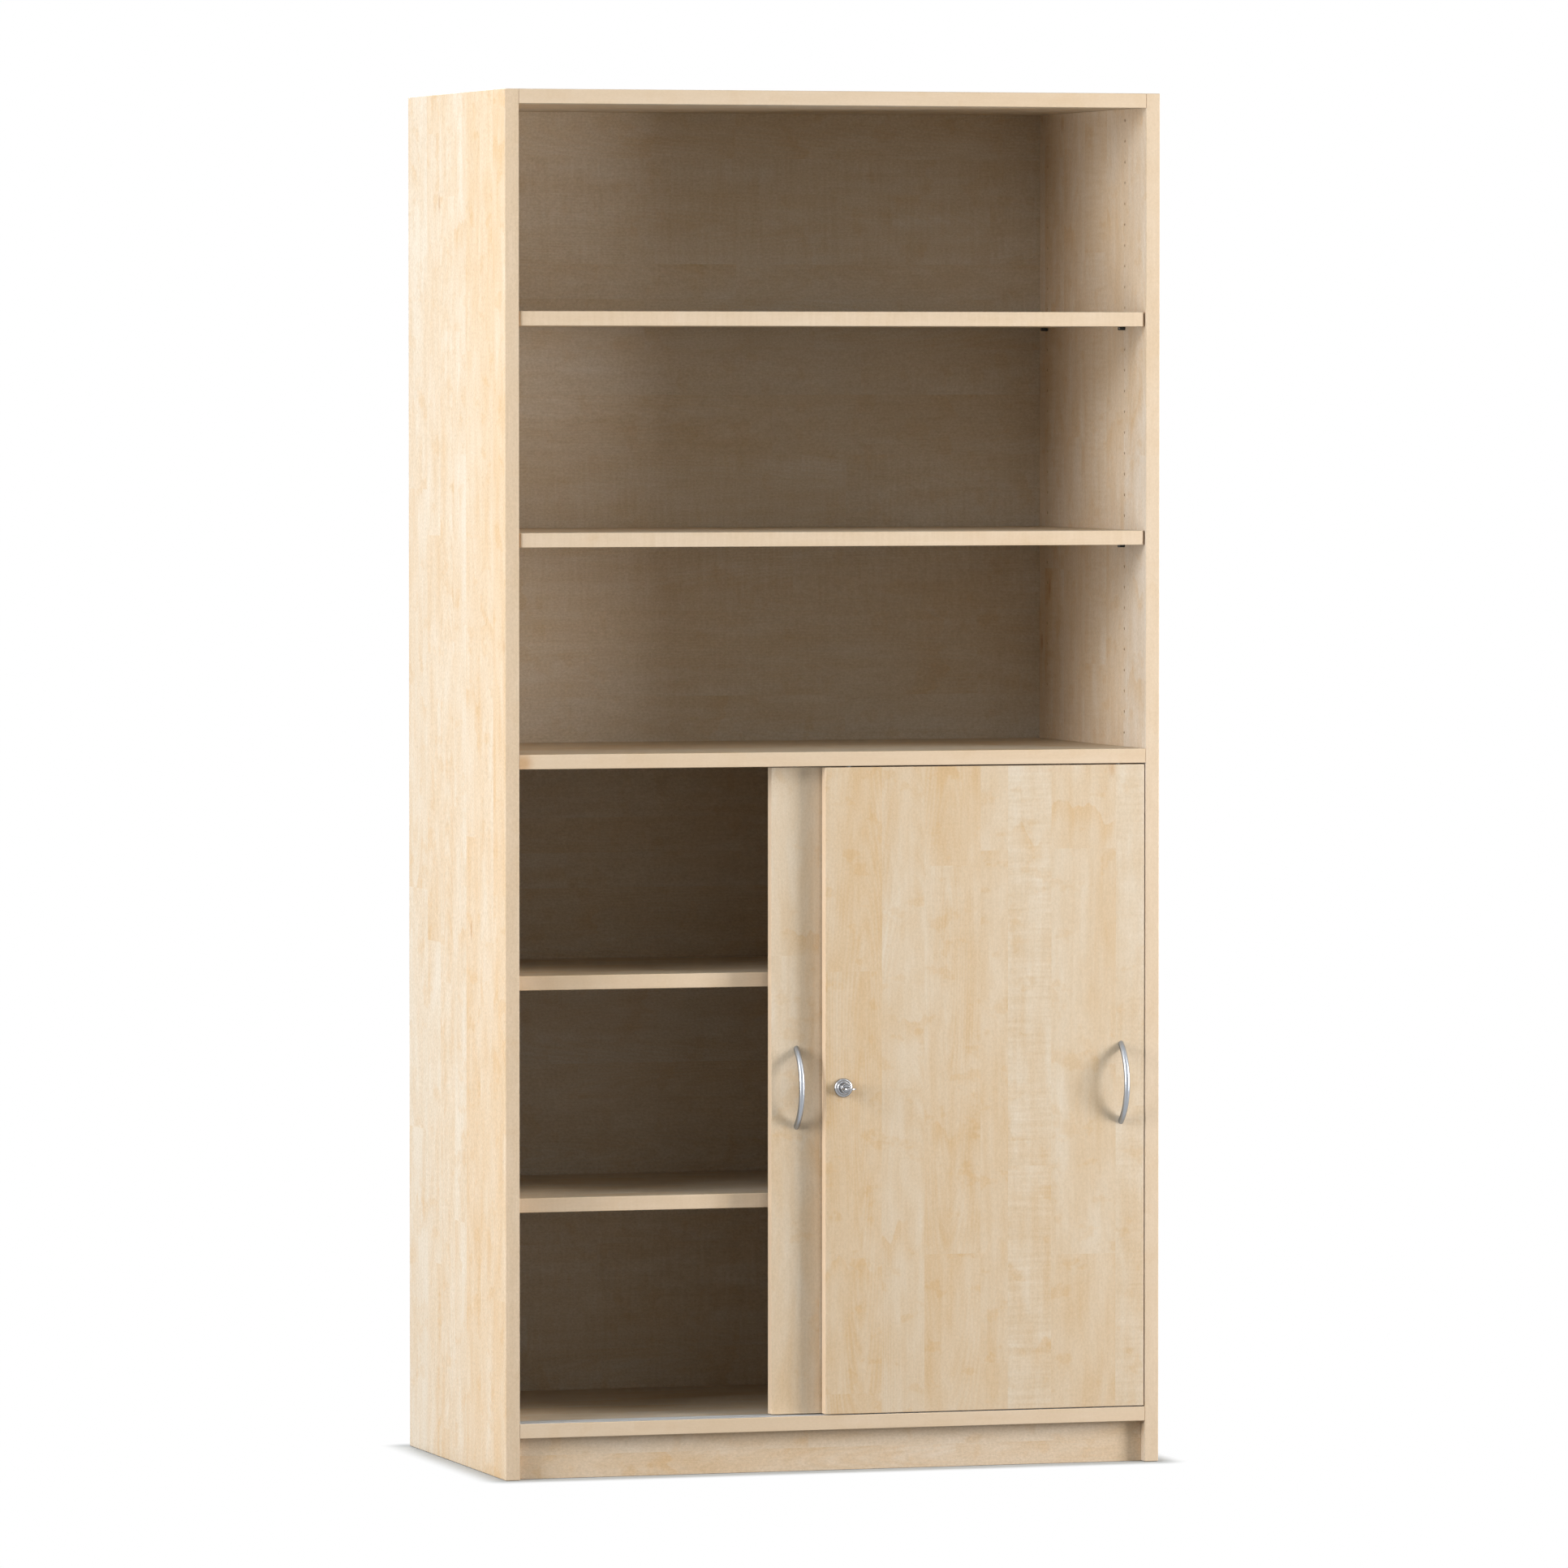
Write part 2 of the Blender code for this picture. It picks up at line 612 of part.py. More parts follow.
def make_shelves():
    names = (("door_shelf_lower", "door_shelf_upper"), ("open_shelf_lower", "open_shelf_upper"))
    setbacks = (DOOR_SHELF_SETBACK, OPEN_SHELF_SETBACK)
    for section, section_names, setback in zip(SECTIONS, names, setbacks):
        for name, underside in zip(section_names, shelf_undersides(*section)):
            make_shelf(name, underside, setback)


def make_wheel(name, x, lane_y):
    """A roller: a rim and a hub joined by a thinner web, bored for its axle."""
    half_width = WHEEL_WIDTH / 2
    half_web = WHEEL_WEB_WIDTH / 2
    bore = AXLE_RADIUS + SEAT_GAP
    inner_rim = WHEEL_RADIUS - WHEEL_RIM_THICKNESS
    tread_half_width = half_width - WHEEL_RIM_ROUNDING
    outline = [
        (bore, half_width),
        (WHEEL_HUB_RADIUS, half_width),
        (WHEEL_HUB_RADIUS, half_web),
        (inner_rim, half_web),
        (inner_rim, half_width),
        (WHEEL_RADIUS - WHEEL_RIM_ROUNDING, half_width),
        (WHEEL_RADIUS, tread_half_width),
        (WHEEL_RADIUS, -tread_half_width),
        (WHEEL_RADIUS - WHEEL_RIM_ROUNDING, -half_width),
        (inner_rim, -half_width),
        (inner_rim, -half_web),
        (WHEEL_HUB_RADIUS, -half_web),
        (WHEEL_HUB_RADIUS, -half_width),
        (bore, -half_width),
    ]
    wheel = turned(name, outline, ROUND_STEPS, (x, lane_y, AXLE_Z), ring=True)
    return dress(wheel, GREY_NYLON)


def bar_along_y(name, radius, length, steps, location, collection=PIECES):
    """A plain round bar, centred on its place."""
    half_length = length / 2
    outline = [(0, half_length), (radius, half_length), (radius, -half_length), (0, -half_length)]
    return turned(name, outline, steps, location, collection=collection)


def make_roller(door, door_name, end_name, x, lane_y):
    """A roller housing in a pocket of the door's bottom edge, with its wheel on an axle."""
    name = "_".join((door_name, "roller", end_name))
    half_length = HOUSING_LENGTH / 2
    half_width = HOUSING_WIDTH / 2
    housing_top = DOOR_BOTTOM_Z + HOUSING_HEIGHT
    pocket_low = (
        x - half_length - SEAT_GAP,
        lane_y - half_width - SEAT_GAP,
        DOOR_BOTTOM_Z - CUT_OVERRUN,
    )
    pocket_high = (
        x + half_length + SEAT_GAP,
        lane_y + half_width + SEAT_GAP,
        housing_top + SEAT_GAP,
    )
    cut(door, box(name + "_pocket", pocket_low, pocket_high, CUTTERS))

    housing = box(
        name + "_housing",
        (x - half_length, lane_y - half_width, DOOR_BOTTOM_Z),
        (x + half_length, lane_y + half_width, housing_top),
    )
    slot_half_length = WHEEL_RADIUS + WHEEL_TURNING_GAP
    slot_half_width = WHEEL_WIDTH / 2 + WHEEL_SIDE_GAP
    slot_low = (x - slot_half_length, lane_y - slot_half_width, DOOR_BOTTOM_Z - CUT_OVERRUN)
    slot_high = (x + slot_half_length, lane_y + slot_half_width, AXLE_Z + slot_half_length)
    cut(housing, box(name + "_slot", slot_low, slot_high, CUTTERS))
    bore_place = (x, lane_y, AXLE_Z)
    bore_length = HOUSING_WIDTH + 2 * CUT_OVERRUN
    bore_radius = AXLE_RADIUS + SEAT_GAP
    bore = bar_along_y(
        name + "_bore", bore_radius, bore_length, SMALL_STEPS, bore_place, CUTTERS
    )
    cut(housing, bore)
    dress(housing, GREY_NYLON)

    axle_length = HOUSING_WIDTH - 2 * SEAT_GAP
    axle = bar_along_y(name + "_axle", AXLE_RADIUS, axle_length, SMALL_STEPS, bore_place)
    dress(axle, ZINC_STEEL)
    wheel = make_wheel(name + "_wheel", x, lane_y)
    return [housing, axle, wheel]


def make_guide(door, door_name, end_name, x, lane_y):
    """A guide pin in a hole of the door's top edge, with its tip in the top track."""
    name = "_".join((door_name, "guide", end_name))
    tip_radius = TRACK_GROOVE_WIDTH / 2 - SEAT_GAP
    tip_end = GUIDE_BODY_LENGTH + GUIDE_TIP_LENGTH
    outline = [
        (0, tip_end),
        (tip_radius - GUIDE_TIP_CHAMFER, tip_end),
        (tip_radius, tip_end - GUIDE_TIP_CHAMFER),
        (tip_radius, GUIDE_BODY_LENGTH),
        (GUIDE_BODY_RADIUS, GUIDE_BODY_LENGTH),
        (GUIDE_BODY_RADIUS, 0),
        (0, 0),
    ]
    foot = (x, lane_y, DOOR_TOP_Z - GUIDE_BODY_LENGTH)
    guide = turned(name, outline, SMALL_STEPS, foot, lying=False)
    hole_radius = GUIDE_BODY_RADIUS + SEAT_GAP
    hole_outline = [
        (0, GUIDE_BODY_LENGTH + CUT_OVERRUN),
        (hole_radius, GUIDE_BODY_LENGTH + CUT_OVERRUN),
        (hole_radius, -SEAT_GAP),
        (0, -SEAT_GAP),
    ]
    hole = turned(
        name + "_hole", hole_outline, SMALL_STEPS, foot, lying=False, collection=CUTTERS
    )
    cut(door, hole)
    return dress(guide, GREY_NYLON)


def make_handle(name, x, face_y):
    """A bow handle: a round bar bent to a circular arc, with its ends cut flush with the door."""
    half_chord = HANDLE_CHORD / 2
    bend_radius = (half_chord**2 + HANDLE_REACH**2) / (2 * HANDLE_REACH)
    overrun_angle = 2 * HANDLE_BAR_RADIUS / bend_radius
    half_angle = math.asin(half_chord / bend_radius) + overrun_angle
    centre_y = bend_radius - HANDLE_REACH
    points = []
    for i in range(HANDLE_ARC_STEPS + 1):
        angle = half_angle * (2 * i / HANDLE_ARC_STEPS - 1)
        y = centre_y - bend_radius * math.cos(angle)
        points.append((0, y, bend_radius * math.sin(angle)))
    handle = tube(name, points, HANDLE_BAR_RADIUS, 4, (x, face_y, HANDLE_Z))
    half_trim_width = 2 * HANDLE_BAR_RADIUS
    half_trim_height = HANDLE_CHORD
    trim = box(
        name + "_trim",
        (x - half_trim_width, face_y - SEAT_GAP, HANDLE_Z - half_trim_height),
        (x + half_trim_width, face_y + HANDLE_REACH, HANDLE_Z + half_trim_height),
        CUTTERS,
    )
    cut(handle, trim)
    return handle


def make_handle_screw(name, x, face_y, z, handle, door):
    """A screw from the back of the door into a foot of the handle, with its head let in."""
    back_y = face_y + DOOR_THICKNESS
    head_end = SCREW_HEAD_SINK - SCREW_HEAD_HEIGHT
    shank_end = DOOR_THICKNESS + HANDLE_SCREW_BITE
    outline = [
        (0, shank_end),
        (HANDLE_SCREW_RADIUS, shank_end),
        (HANDLE_SCREW_RADIUS, SCREW_HEAD_SINK),
        (SCREW_HEAD_RADIUS, SCREW_HEAD_SINK),
        (SCREW_HEAD_RADIUS, head_end),
        (0, head_end),
    ]
    screw = turned(name, outline, SMALL_STEPS, (x, back_y, z))
    half_socket = SCREW_SOCKET_WIDTH / 2
    socket = box(
        name + "_socket",
        (x - half_socket, back_y - head_end - SCREW_SOCKET_DEPTH, z - half_socket),
        (x + half_socket, back_y + CUT_OVERRUN, z + half_socket),
        CUTTERS,
    )
    cut(screw, socket)
    bore_radius = HANDLE_SCREW_RADIUS + SEAT_GAP
    sink_radius = SCREW_HEAD_RADIUS + SEAT_GAP
    bore_end = shank_end + SEAT_GAP
    sink_end = SCREW_HEAD_SINK + SEAT_GAP
    bore_outline = [
        (0, bore_end),
        (bore_radius, bore_end),
        (bore_radius, sink_end),
        (sink_radius, sink_end),
        (sink_radius, -CUT_OVERRUN),
        (0, -CUT_OVERRUN),
    ]
    bore = turned(
        name + "_bore", bore_outline, SMALL_STEPS, (x, back_y, z), collection=CUTTERS
    )
    cut(door, bore)
    cut(handle, bore)
    return dress(screw, ZINC_STEEL)


def make_door(name, left_x, width, face_y, handle_name, handle_x):
    """A door with what it carries: handle, screws, rollers and guide pins."""
    low = (left_x, face_y, DOOR_BOTTOM_Z)
    high = (left_x + width, face_y + DOOR_THICKNESS, DOOR_TOP_Z)
    door = box(name, low, high)
    round_edges(door, EDGE_RADIUS)
    dress(door, MAPLE)
    lane_y = face_y + DOOR_THICKNESS / 2
    pieces = [door]
    for end_name, roller_x, guide_x in (
        ("left", left_x + ROLLER_INSET, left_x + GUIDE_INSET),
        ("right", left_x + width - ROLLER_INSET, left_x + width - GUIDE_INSET),
    ):
        pieces += make_roller(door, name, end_name, roller_x, lane_y)
        pieces.append(make_guide(door, name, end_name, guide_x, lane_y))
    handle = make_handle(handle_name, handle_x, face_y)
    for end_name, side in (("upper", 1), ("lower", -1)):
        screw_name = "_".join((handle_name, "screw", end_name))
        screw_z = HANDLE_Z + side * HANDLE_SCREW_SPACING / 2
        screw = make_handle_screw(screw_name, handle_x, face_y, screw_z, handle, door)
        pieces.append(screw)
    dress(handle, SATIN_ALUMINIUM)
    pieces.append(handle)
    slide = joint_empty(name + "_slide", (left_x + width / 2, lane_y, AXLE_Z))
    for piece in pieces:
        attach(piece, slide)
    return door, slide


# Reaches along the lock's axis, told from the front door's face towards the front
CASE_BACK = -DOOR_THICKNESS
CASE_FLOOR = CASE_BACK + CASE_FLOOR_THICKNESS
CYLINDER_SHOULDER = CASE_FLOOR + SPRING_LENGTH + SEAT_GAP
PLUG_FACE = LOCK_PROJECTION + PLUG_PROUD
PLUG_END = PLUG_FACE - PLUG_LENGTH
KEY_TIP = PLUG_FACE - KEY_BLADE_LENGTH


def lock_turned(name, outline, steps=FINE_STEPS, ring=False, collection=PIECES):
    place = (LOCK_X, FRONT_DOOR_FACE_Y, LOCK_Z)
    return turned(name, outline, steps, place, ring=ring, collection=collection)


def make_lock_case():
    """The case: a cup through the door, with a flange in front and a hole for the bolt."""
    bore = CYLINDER_RADIUS + SEAT_GAP
    bolt_hole = BOLT_RADIUS + SEAT_GAP
    flange_back = SEAT_GAP
    flange_front = flange_back + CASE_FLANGE_THICKNESS
    outline = [
        (bore, flange_front),
        (CASE_FLANGE_RADIUS, flange_front),
        (CASE_FLANGE_RADIUS, flange_back),
        (CASE_RADIUS, flange_back),
        (CASE_RADIUS, CASE_BACK),
        (bolt_hole, CASE_BACK),
        (bolt_hole, CASE_FLOOR),
        (bore, CASE_FLOOR),
    ]
    return dress(lock_turned("lock_case", outline, ring=True), ZINC_STEEL)


def make_lock_rosette():
    """The trim ring: a low dome over the case's flange."""
    bore = CYLINDER_RADIUS + SEAT_GAP
    recess_radius = CASE_FLANGE_RADIUS + SEAT_GAP
    recess_height = SEAT_GAP + CASE_FLANGE_THICKNESS + SEAT_GAP
    dome_height = ROSETTE_HEIGHT - ROSETTE_RIM_HEIGHT
    dome_width = ROSETTE_RADIUS - bore
    quarter = [math.radians(angle) for angle in (90, 70, 50, 30, 15, 0)]
    dome = [
        (bore + dome_width * math.cos(a), ROSETTE_RIM_HEIGHT + dome_height * math.sin(a))
        for a in quarter
    ]
    outline = dome + [
        (ROSETTE_RADIUS, SEAT_GAP),
        (recess_radius, SEAT_GAP),
        (recess_radius, recess_height),
        (bore, recess_height),
    ]
    return dress(lock_turned("lock_rosette", outline, ring=True), NICKEL)


def make_lock_cylinder():
    """The cylinder that is pushed in, with the bolt as its tail and a blind bore for the plug."""
    bore = PLUG_RADIUS + SEAT_GAP
    bore_end = PLUG_END - SEAT_GAP
    rim = CYLINDER_RADIUS - CYLINDER_FACE_CHAMFER
    outline = [
        (0, bore_end),
        (bore, bore_end),
        (bore, LOCK_PROJECTION),
        (rim, LOCK_PROJECTION),
        (CYLINDER_RADIUS, LOCK_PROJECTION - CYLINDER_FACE_CHAMFER),
        (CYLINDER_RADIUS, CYLINDER_SHOULDER),
        (BOLT_RADIUS, CYLINDER_SHOULDER),
        (BOLT_RADIUS, CASE_BACK),
        (0, CASE_BACK),
    ]
    return dress(lock_turned("lock_cylinder", outline), NICKEL)


def make_lock_plug():
    """The plug that the key turns, with its keyway."""
    outline = [(0, PLUG_FACE), (PLUG_RADIUS, PLUG_FACE), (PLUG_RADIUS, PLUG_END), (0, PLUG_END)]
    plug = lock_turned("lock_plug", outline, ROUND_STEPS)
    half_width = KEY_BLADE_HALF_WIDTH + SEAT_GAP
    half_height = KEY_THICKNESS / 2 + SEAT_GAP
    face_y = FRONT_DOOR_FACE_Y - PLUG_FACE
    keyway = box(
        "lock_plug_keyway",
        (LOCK_X - half_width, face_y - CUT_OVERRUN, LOCK_Z - half_height),
        (LOCK_X + half_width, face_y + KEYWAY_DEPTH, LOCK_Z + half_height),
        CUTTERS,
    )
    cut(plug, keyway)
    return dress(plug, ZINC_STEEL)


def make_key():
    """The key: a flat blade with a round, bored bow, lying level. Its origin is at the tip."""
    bow_centre = -(KEY_BLADE_LENGTH + KEY_NECK_LENGTH + KEY_BOW_RADIUS)
    bow_steps = ROUND_STEPS
    neck_angle = math.asin(KEY_BLADE_HALF_WIDTH / KEY_BOW_RADIUS)
    outer = [
        (KEY_BLADE_HALF_WIDTH - KEY_TIP_LENGTH, 0),
        (-(KEY_BLADE_HALF_WIDTH - KEY_TIP_LENGTH), 0),
        (-KEY_BLADE_HALF_WIDTH, -KEY_TIP_LENGTH),
    ]
    for i in range(bow_steps + 1):
        angle = neck_angle + (math.tau - 2 * neck_angle) * i / bow_steps
        x = -KEY_BOW_RADIUS * math.sin(angle)
        outer.append((x, bow_centre + KEY_BOW_RADIUS * math.cos(angle)))
    outer.append((KEY_BLADE_HALF_WIDTH, -KEY_TIP_LENGTH))
    hole_y = bow_centre - KEY_HOLE_RADIUS
    hole = []
    for i in range(SMALL_STEPS):
        angle = math.tau * i / SMALL_STEPS
        hole.append(
            (KEY_HOLE_RADIUS * math.cos(angle), hole_y + KEY_HOLE_RADIUS * math.sin(angle))
        )
    place = (LOCK_X, FRONT_DOOR_FACE_Y - KEY_TIP, LOCK_Z)
    return dress(flat_outline("lock_key", [outer, hole], KEY_THICKNESS, place), NICKEL)


def make_lock_spring():
    """The spring between the cylinder's shoulder and the case's floor."""
    wire_room = SPRING_LENGTH - 2 * SPRING_WIRE_RADIUS - SEAT_GAP
    steps = round(SPRING_TURNS * SPRING_STEPS_A_TURN)
    points = []
    for i in range(steps + 1):
        angle = math.tau * i / SPRING_STEPS_A_TURN
        reach = wire_room * i / steps
        points.append(
            (SPRING_RADIUS * math.cos(angle), -reach, SPRING_RADIUS * math.sin(angle))
        )
    spring_foot = CASE_FLOOR + SEAT_GAP + SPRING_WIRE_RADIUS
    place = (LOCK_X, FRONT_DOOR_FACE_Y - spring_foot, LOCK_Z)
    spring = tube("lock_spring", points, SPRING_WIRE_RADIUS, 1, place)
    return dress(spring, ZINC_STEEL)


def make_lock(front_door, front_slide, rear_door, rear_slide):
    """The push lock in the front door and the strike bush for its bolt in the rear door."""
    hole_radius = CASE_RADIUS + SEAT_GAP
    hole_outline = [
        (0, CUT_OVERRUN),
        (hole_radius, CUT_OVERRUN),
        (hole_radius, CASE_BACK - CUT_OVERRUN),
        (0, CASE_BACK - CUT_OVERRUN),
    ]
    cut(front_door, lock_turned("lock_hole", hole_outline, collection=CUTTERS))
    for piece in (make_lock_case(), make_lock_rosette(), make_lock_spring()):
        attach(piece, front_slide)

    cylinder = make_lock_cylinder()
    attach(cylinder, front_slide)
    plug = make_lock_plug()
    attach(plug, cylinder)
    attach(make_key(), plug)

    bore = BOLT_RADIUS + STRIKE_PLAY
    bore_end = STRIKE_FLOOR_THICKNESS - STRIKE_LENGTH
    place = (STRIKE_X, REAR_DOOR_FACE_Y, LOCK_Z)
    outline = [
        (0, bore_end),
        (bore, bore_end),
        (bore, 0),
        (STRIKE_RADIUS, 0),
        (STRIKE_RADIUS, -STRIKE_LENGTH),
        (0, -STRIKE_LENGTH),
    ]
    strike = dress(turned("strike_bush", outline, ROUND_STEPS, place), ZINC_STEEL)
    attach(strike, rear_slide)
    seat_radius = STRIKE_RADIUS + SEAT_GAP
    seat_end = -STRIKE_LENGTH - SEAT_GAP
    seat_outline = [
        (0, CUT_OVERRUN),
        (seat_radius, CUT_OVERRUN),
        (seat_radius, seat_end),
        (0, seat_end),
    ]
    seat = turned("strike_seat", seat_outline, ROUND_STEPS, place, collection=CUTTERS)
    cut(rear_door, seat)


def make_doors():
    front_door, front_slide = make_door(
        "front_door",
        FRONT_DOOR_LEFT_X,
        FRONT_DOOR_WIDTH,
        FRONT_DOOR_FACE_Y,
        "front_handle",
        FRONT_HANDLE_X,
    )
    rear_door, rear_slide = make_door(
        "rear_door",
        REAR_DOOR_LEFT_X,
        REAR_DOOR_WIDTH,
        REAR_DOOR_FACE_Y,
        "rear_handle",
        REAR_HANDLE_X,
    )
    make_lock(front_door, front_slide, rear_door, rear_slide)


make_carcass()
make_shelves()
make_doors()
bpy.context.view_layer.update()
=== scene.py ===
"""Looks of the sliding door cabinet: maple-faced boards, satin handles, nickel lock, studio light.

Lengths are in metres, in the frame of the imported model: +X right, +Y to the back, +Z up.
"""

import json
import math
import random

import bmesh
import bpy
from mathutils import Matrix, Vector

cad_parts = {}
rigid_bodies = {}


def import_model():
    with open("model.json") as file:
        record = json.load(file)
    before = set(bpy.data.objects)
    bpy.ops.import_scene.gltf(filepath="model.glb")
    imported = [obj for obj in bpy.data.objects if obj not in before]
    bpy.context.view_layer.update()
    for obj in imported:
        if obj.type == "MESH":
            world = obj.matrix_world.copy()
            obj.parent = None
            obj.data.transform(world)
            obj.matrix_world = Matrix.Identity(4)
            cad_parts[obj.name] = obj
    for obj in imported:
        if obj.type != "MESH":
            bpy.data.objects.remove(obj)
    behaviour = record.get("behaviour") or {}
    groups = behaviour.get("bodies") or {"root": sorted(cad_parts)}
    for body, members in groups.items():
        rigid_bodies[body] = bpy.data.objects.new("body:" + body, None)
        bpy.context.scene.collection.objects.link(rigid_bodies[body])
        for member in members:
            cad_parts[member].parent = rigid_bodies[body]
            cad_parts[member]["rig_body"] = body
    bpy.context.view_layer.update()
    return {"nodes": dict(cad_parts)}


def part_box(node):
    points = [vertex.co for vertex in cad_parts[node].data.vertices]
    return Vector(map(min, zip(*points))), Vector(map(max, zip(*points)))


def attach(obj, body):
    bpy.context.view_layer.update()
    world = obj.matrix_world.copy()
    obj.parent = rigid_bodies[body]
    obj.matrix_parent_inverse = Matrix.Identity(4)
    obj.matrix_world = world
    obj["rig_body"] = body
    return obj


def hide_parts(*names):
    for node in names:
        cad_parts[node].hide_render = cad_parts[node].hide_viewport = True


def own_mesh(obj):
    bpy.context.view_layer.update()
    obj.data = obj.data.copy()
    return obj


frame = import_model()
NODES = frame["nodes"]

AXES = {"X": 0, "Y": 1, "Z": 2}
WHITE = (1.0, 1.0, 1.0)

# Camera, fitted to the straight edges in the photo
CAMERA_PLACE = (-4.861288, -16.09805, 1.667988)
CAMERA_PITCH = math.pi / 2 - 0.03742
CAMERA_YAW = -0.29316
CAMERA_LENS = 250.246
CAMERA_SENSOR = 36.0
CAMERA_CLIP_END = 200.0

# Lamps: name, degrees to the left of the front, degrees up, distance from the point they all aim
# at, width, height, watts, colour
LAMPS_AIM = Vector((0.0, 0.0, 1.25))
LAMPS = (
    ("left_rear", 86.0, 8.0, 5.5, 1.4, 1.6, 50.0, WHITE),
    ("left_rear_high", 86.0, 30.0, 5.5, 1.4, 1.6, 35.0, WHITE),
    ("left_low", 71.0, 0.0, 5.5, 1.4, 1.6, 114.0, WHITE),
    ("left_high", 71.0, 18.0, 5.5, 1.4, 1.6, 78.0, WHITE),
    ("left_front", 56.0, 22.0, 5.5, 1.4, 1.6, 51.0, WHITE),
    ("right_low", -60.0, -1.0, 4.5, 1.4, 2.0, 184.0, (1.0, 0.98, 0.96)),
    ("right_front", -45.0, 30.0, 4.5, 1.4, 1.6, 27.0, (1.0, 0.97, 0.90)),
    ("front_high", 20.0, 56.0, 5.0, 1.4, 1.6, 15.0, WHITE),
    ("rear", 180.0, 42.0, 5.0, 1.4, 1.6, 150.0, WHITE),
)

# Light from all round, which the camera doesn't see
AMBIENT_COLOUR = (0.84, 1.0, 1.0)
AMBIENT_STRENGTH = 0.19

# Floor: its shadow fades out into white within a short way of the cabinet's sides, and it is
# darker to the rays that light the cabinet than to the camera
FLOOR_RADIUS = 9.0
FLOOR_SIDES = 96
FLOOR_DROP = 0.0005
FLOOR_FADE = 0.048
FLOOR_SEEN = (0.54, 0.555, 0.565)
FLOOR_TO_LIGHT = (0.25, 0.25, 0.25)
FLOOR_ROUGH = 0.9

# Maple goes from orange to cream with little change in its red, and its fine grain darkens or
# lightens it
MAPLE_ORANGE = (0.675, 0.470, 0.268)
MAPLE_CREAM = (0.715, 0.610, 0.484)
GRAIN_DARKER = (0.86, 0.845, 0.80)
GRAIN_LIGHTER = (1.14, 1.155, 1.20)
KNOT_TINT = (0.80, 0.66, 0.52)
# Painted shade: the faces of the shelves and of the top, middle and bottom panels are darker and
# cooler than the wood, standing in for the shade inside the compartments
SHELF_PAINTED_SHADE = (0.86, 0.92, 1.0)
EDGE_TINT = (1.07, 1.07, 1.10)
MAPLE_ROUGH = 0.47
MAPLE_ROUGH_BY_STREAK = 0.25
MAPLE_SPECULAR = 0.35

# Staves: the widths they are drawn from, the narrowest last one, the tones they are drawn from,
# how far the tree's pith lies from a stave's middle, and where along the board it comes nearest
# to the face, as a share of the board's length
STAVE_WIDTHS = (0.055, 0.070, 0.075, 0.085, 0.095, 0.105, 0.135)
STAVE_LEAST = 0.03
STAVE_TONES = (0.36, 0.64)
PITH_STRAY = 0.02
PITH_REACH = (-0.2, 1.2)

# A colour ramp holds values from 0 to 1, so a place in metres is kept in it as place / span + 0.5
RAMP_SPAN = 4.0

# A stave's shorter parts in a metre, the jumps from one place in the tree to another, which only
# keep parts and staves from looking alike, and the sway of the grain: waves in a metre along and
# across it, and how far it goes
PARTS_A_METRE = 1.6
PART_SEED = 91.0
PART_JUMP = 0.2
STAVE_JUMP = 37.0
JUMP_THROUGH = 0.37
SWAY_ALONG = 1.6
SWAY_ACROSS = 9.0
SWAY = 0.030

# Noises of the veneer: waves in a metre along the grain and across it, detail, roughness
STREAK = (3.0, 95.0, 4.0, 0.6)
CURL = (160.0, 12.0, 2.0, 0.6)
CURL_PLACES = (4.2, 12.0)
CLOUD = (2.6, 13.0)
PATCH = (9.0, 34.0, 2.0, 0.6)
BLOTCH = (26.0, 20.0, 3.0, 0.6)
FLAME_SHIFT = (3.0, 26.0)
FLAME_PLACES = (5.0, 17.0)
LEAN = (2.0, 6.0)
RING_SHIFT = (5.0, 30.0)
RING_PLACES = (3.0, 14.0)
MOTTLE = (230.0, 330.0, 2.0, 0.75)
LINE = (18.0, 560.0, 3.0, 0.6)

# From where to where a noise, a share or a distance turns a layer on
CURL_ON = (0.0, 0.9)
BLOTCH_ON = (0.07, 0.16)
FLAME_BEGINS = (-0.01, 0.015)
FLAME_ENDS = (0.34, 0.02)
FLAME_DRAWN = (0.50, 0.80)
FLAME_ON = (-0.06, 0.10)
RING_DRAWN = (0.25, 0.65)
RING_ON = (-0.12, 0.10)
RING_LIGHT = (0.45, 1.0)
RING_DARK = (-0.3, -1.0)
KNOT_ON = (0.075, 0.015)
FACE_ON = (0.45, 0.8)

# Flames in a metre, how far the noise shifts them, and what sets each stave's apart
FLAMES_A_METRE = 6.5
FLAME_SHIFT_BY = 0.9
FLAME_SEED = 53.0

# Growth rings: distance between two, slope of the pith towards the face, and how far noise
# shifts the pith and the rings
RING_STEP = 0.0042
PITH_SLOPE = 0.085
LEAN_BY = 0.02
RING_SHIFT_BY = 0.0012

# Knots in a metre along the grain, across it and into the board
KNOTS_A_METRE = (3.6, 8.0, 3.0)

# How much each layer adds to the share of cream, to the light of the grain and to the relief
CREAM_LAYERS = {
    "part": 0.16,
    "off_pith": -0.9,
    "cloud": 0.75,
    "patch": 0.90,
    "streak": 0.42,
    "curl": 0.46,
    "blotch": -0.22,
    "flames": -0.34,
    "ring": 0.10,
}
FINE_LAYERS = {"mottle": 0.95, "line": 0.26}
LIGHT_LAYERS = {
    "cloud": 0.12,
    "patch": 0.36,
    "streak": 0.24,
    "curl": 0.50,
    "ring": 0.03,
    "blotch": -0.05,
    "flames": -0.05,
}
RELIEF_LAYERS = {"light": 0.7, "streak": 0.6}

# Relief of each kind of surface: its depth, and how strongly it shows
MAPLE_RELIEF = (0.00025, 0.5)
METAL_RELIEF = (0.00002, 0.4)
PLASTIC_RELIEF = (0.00006, 0.5)

# The glued edge bands are plainer than the faces: shares of the change in cream, of the mottle
# and of the light that are left on them
EDGE_CREAM = 0.25
EDGE_MOTTLE = 0.6
EDGE_LIGHT = 0.75

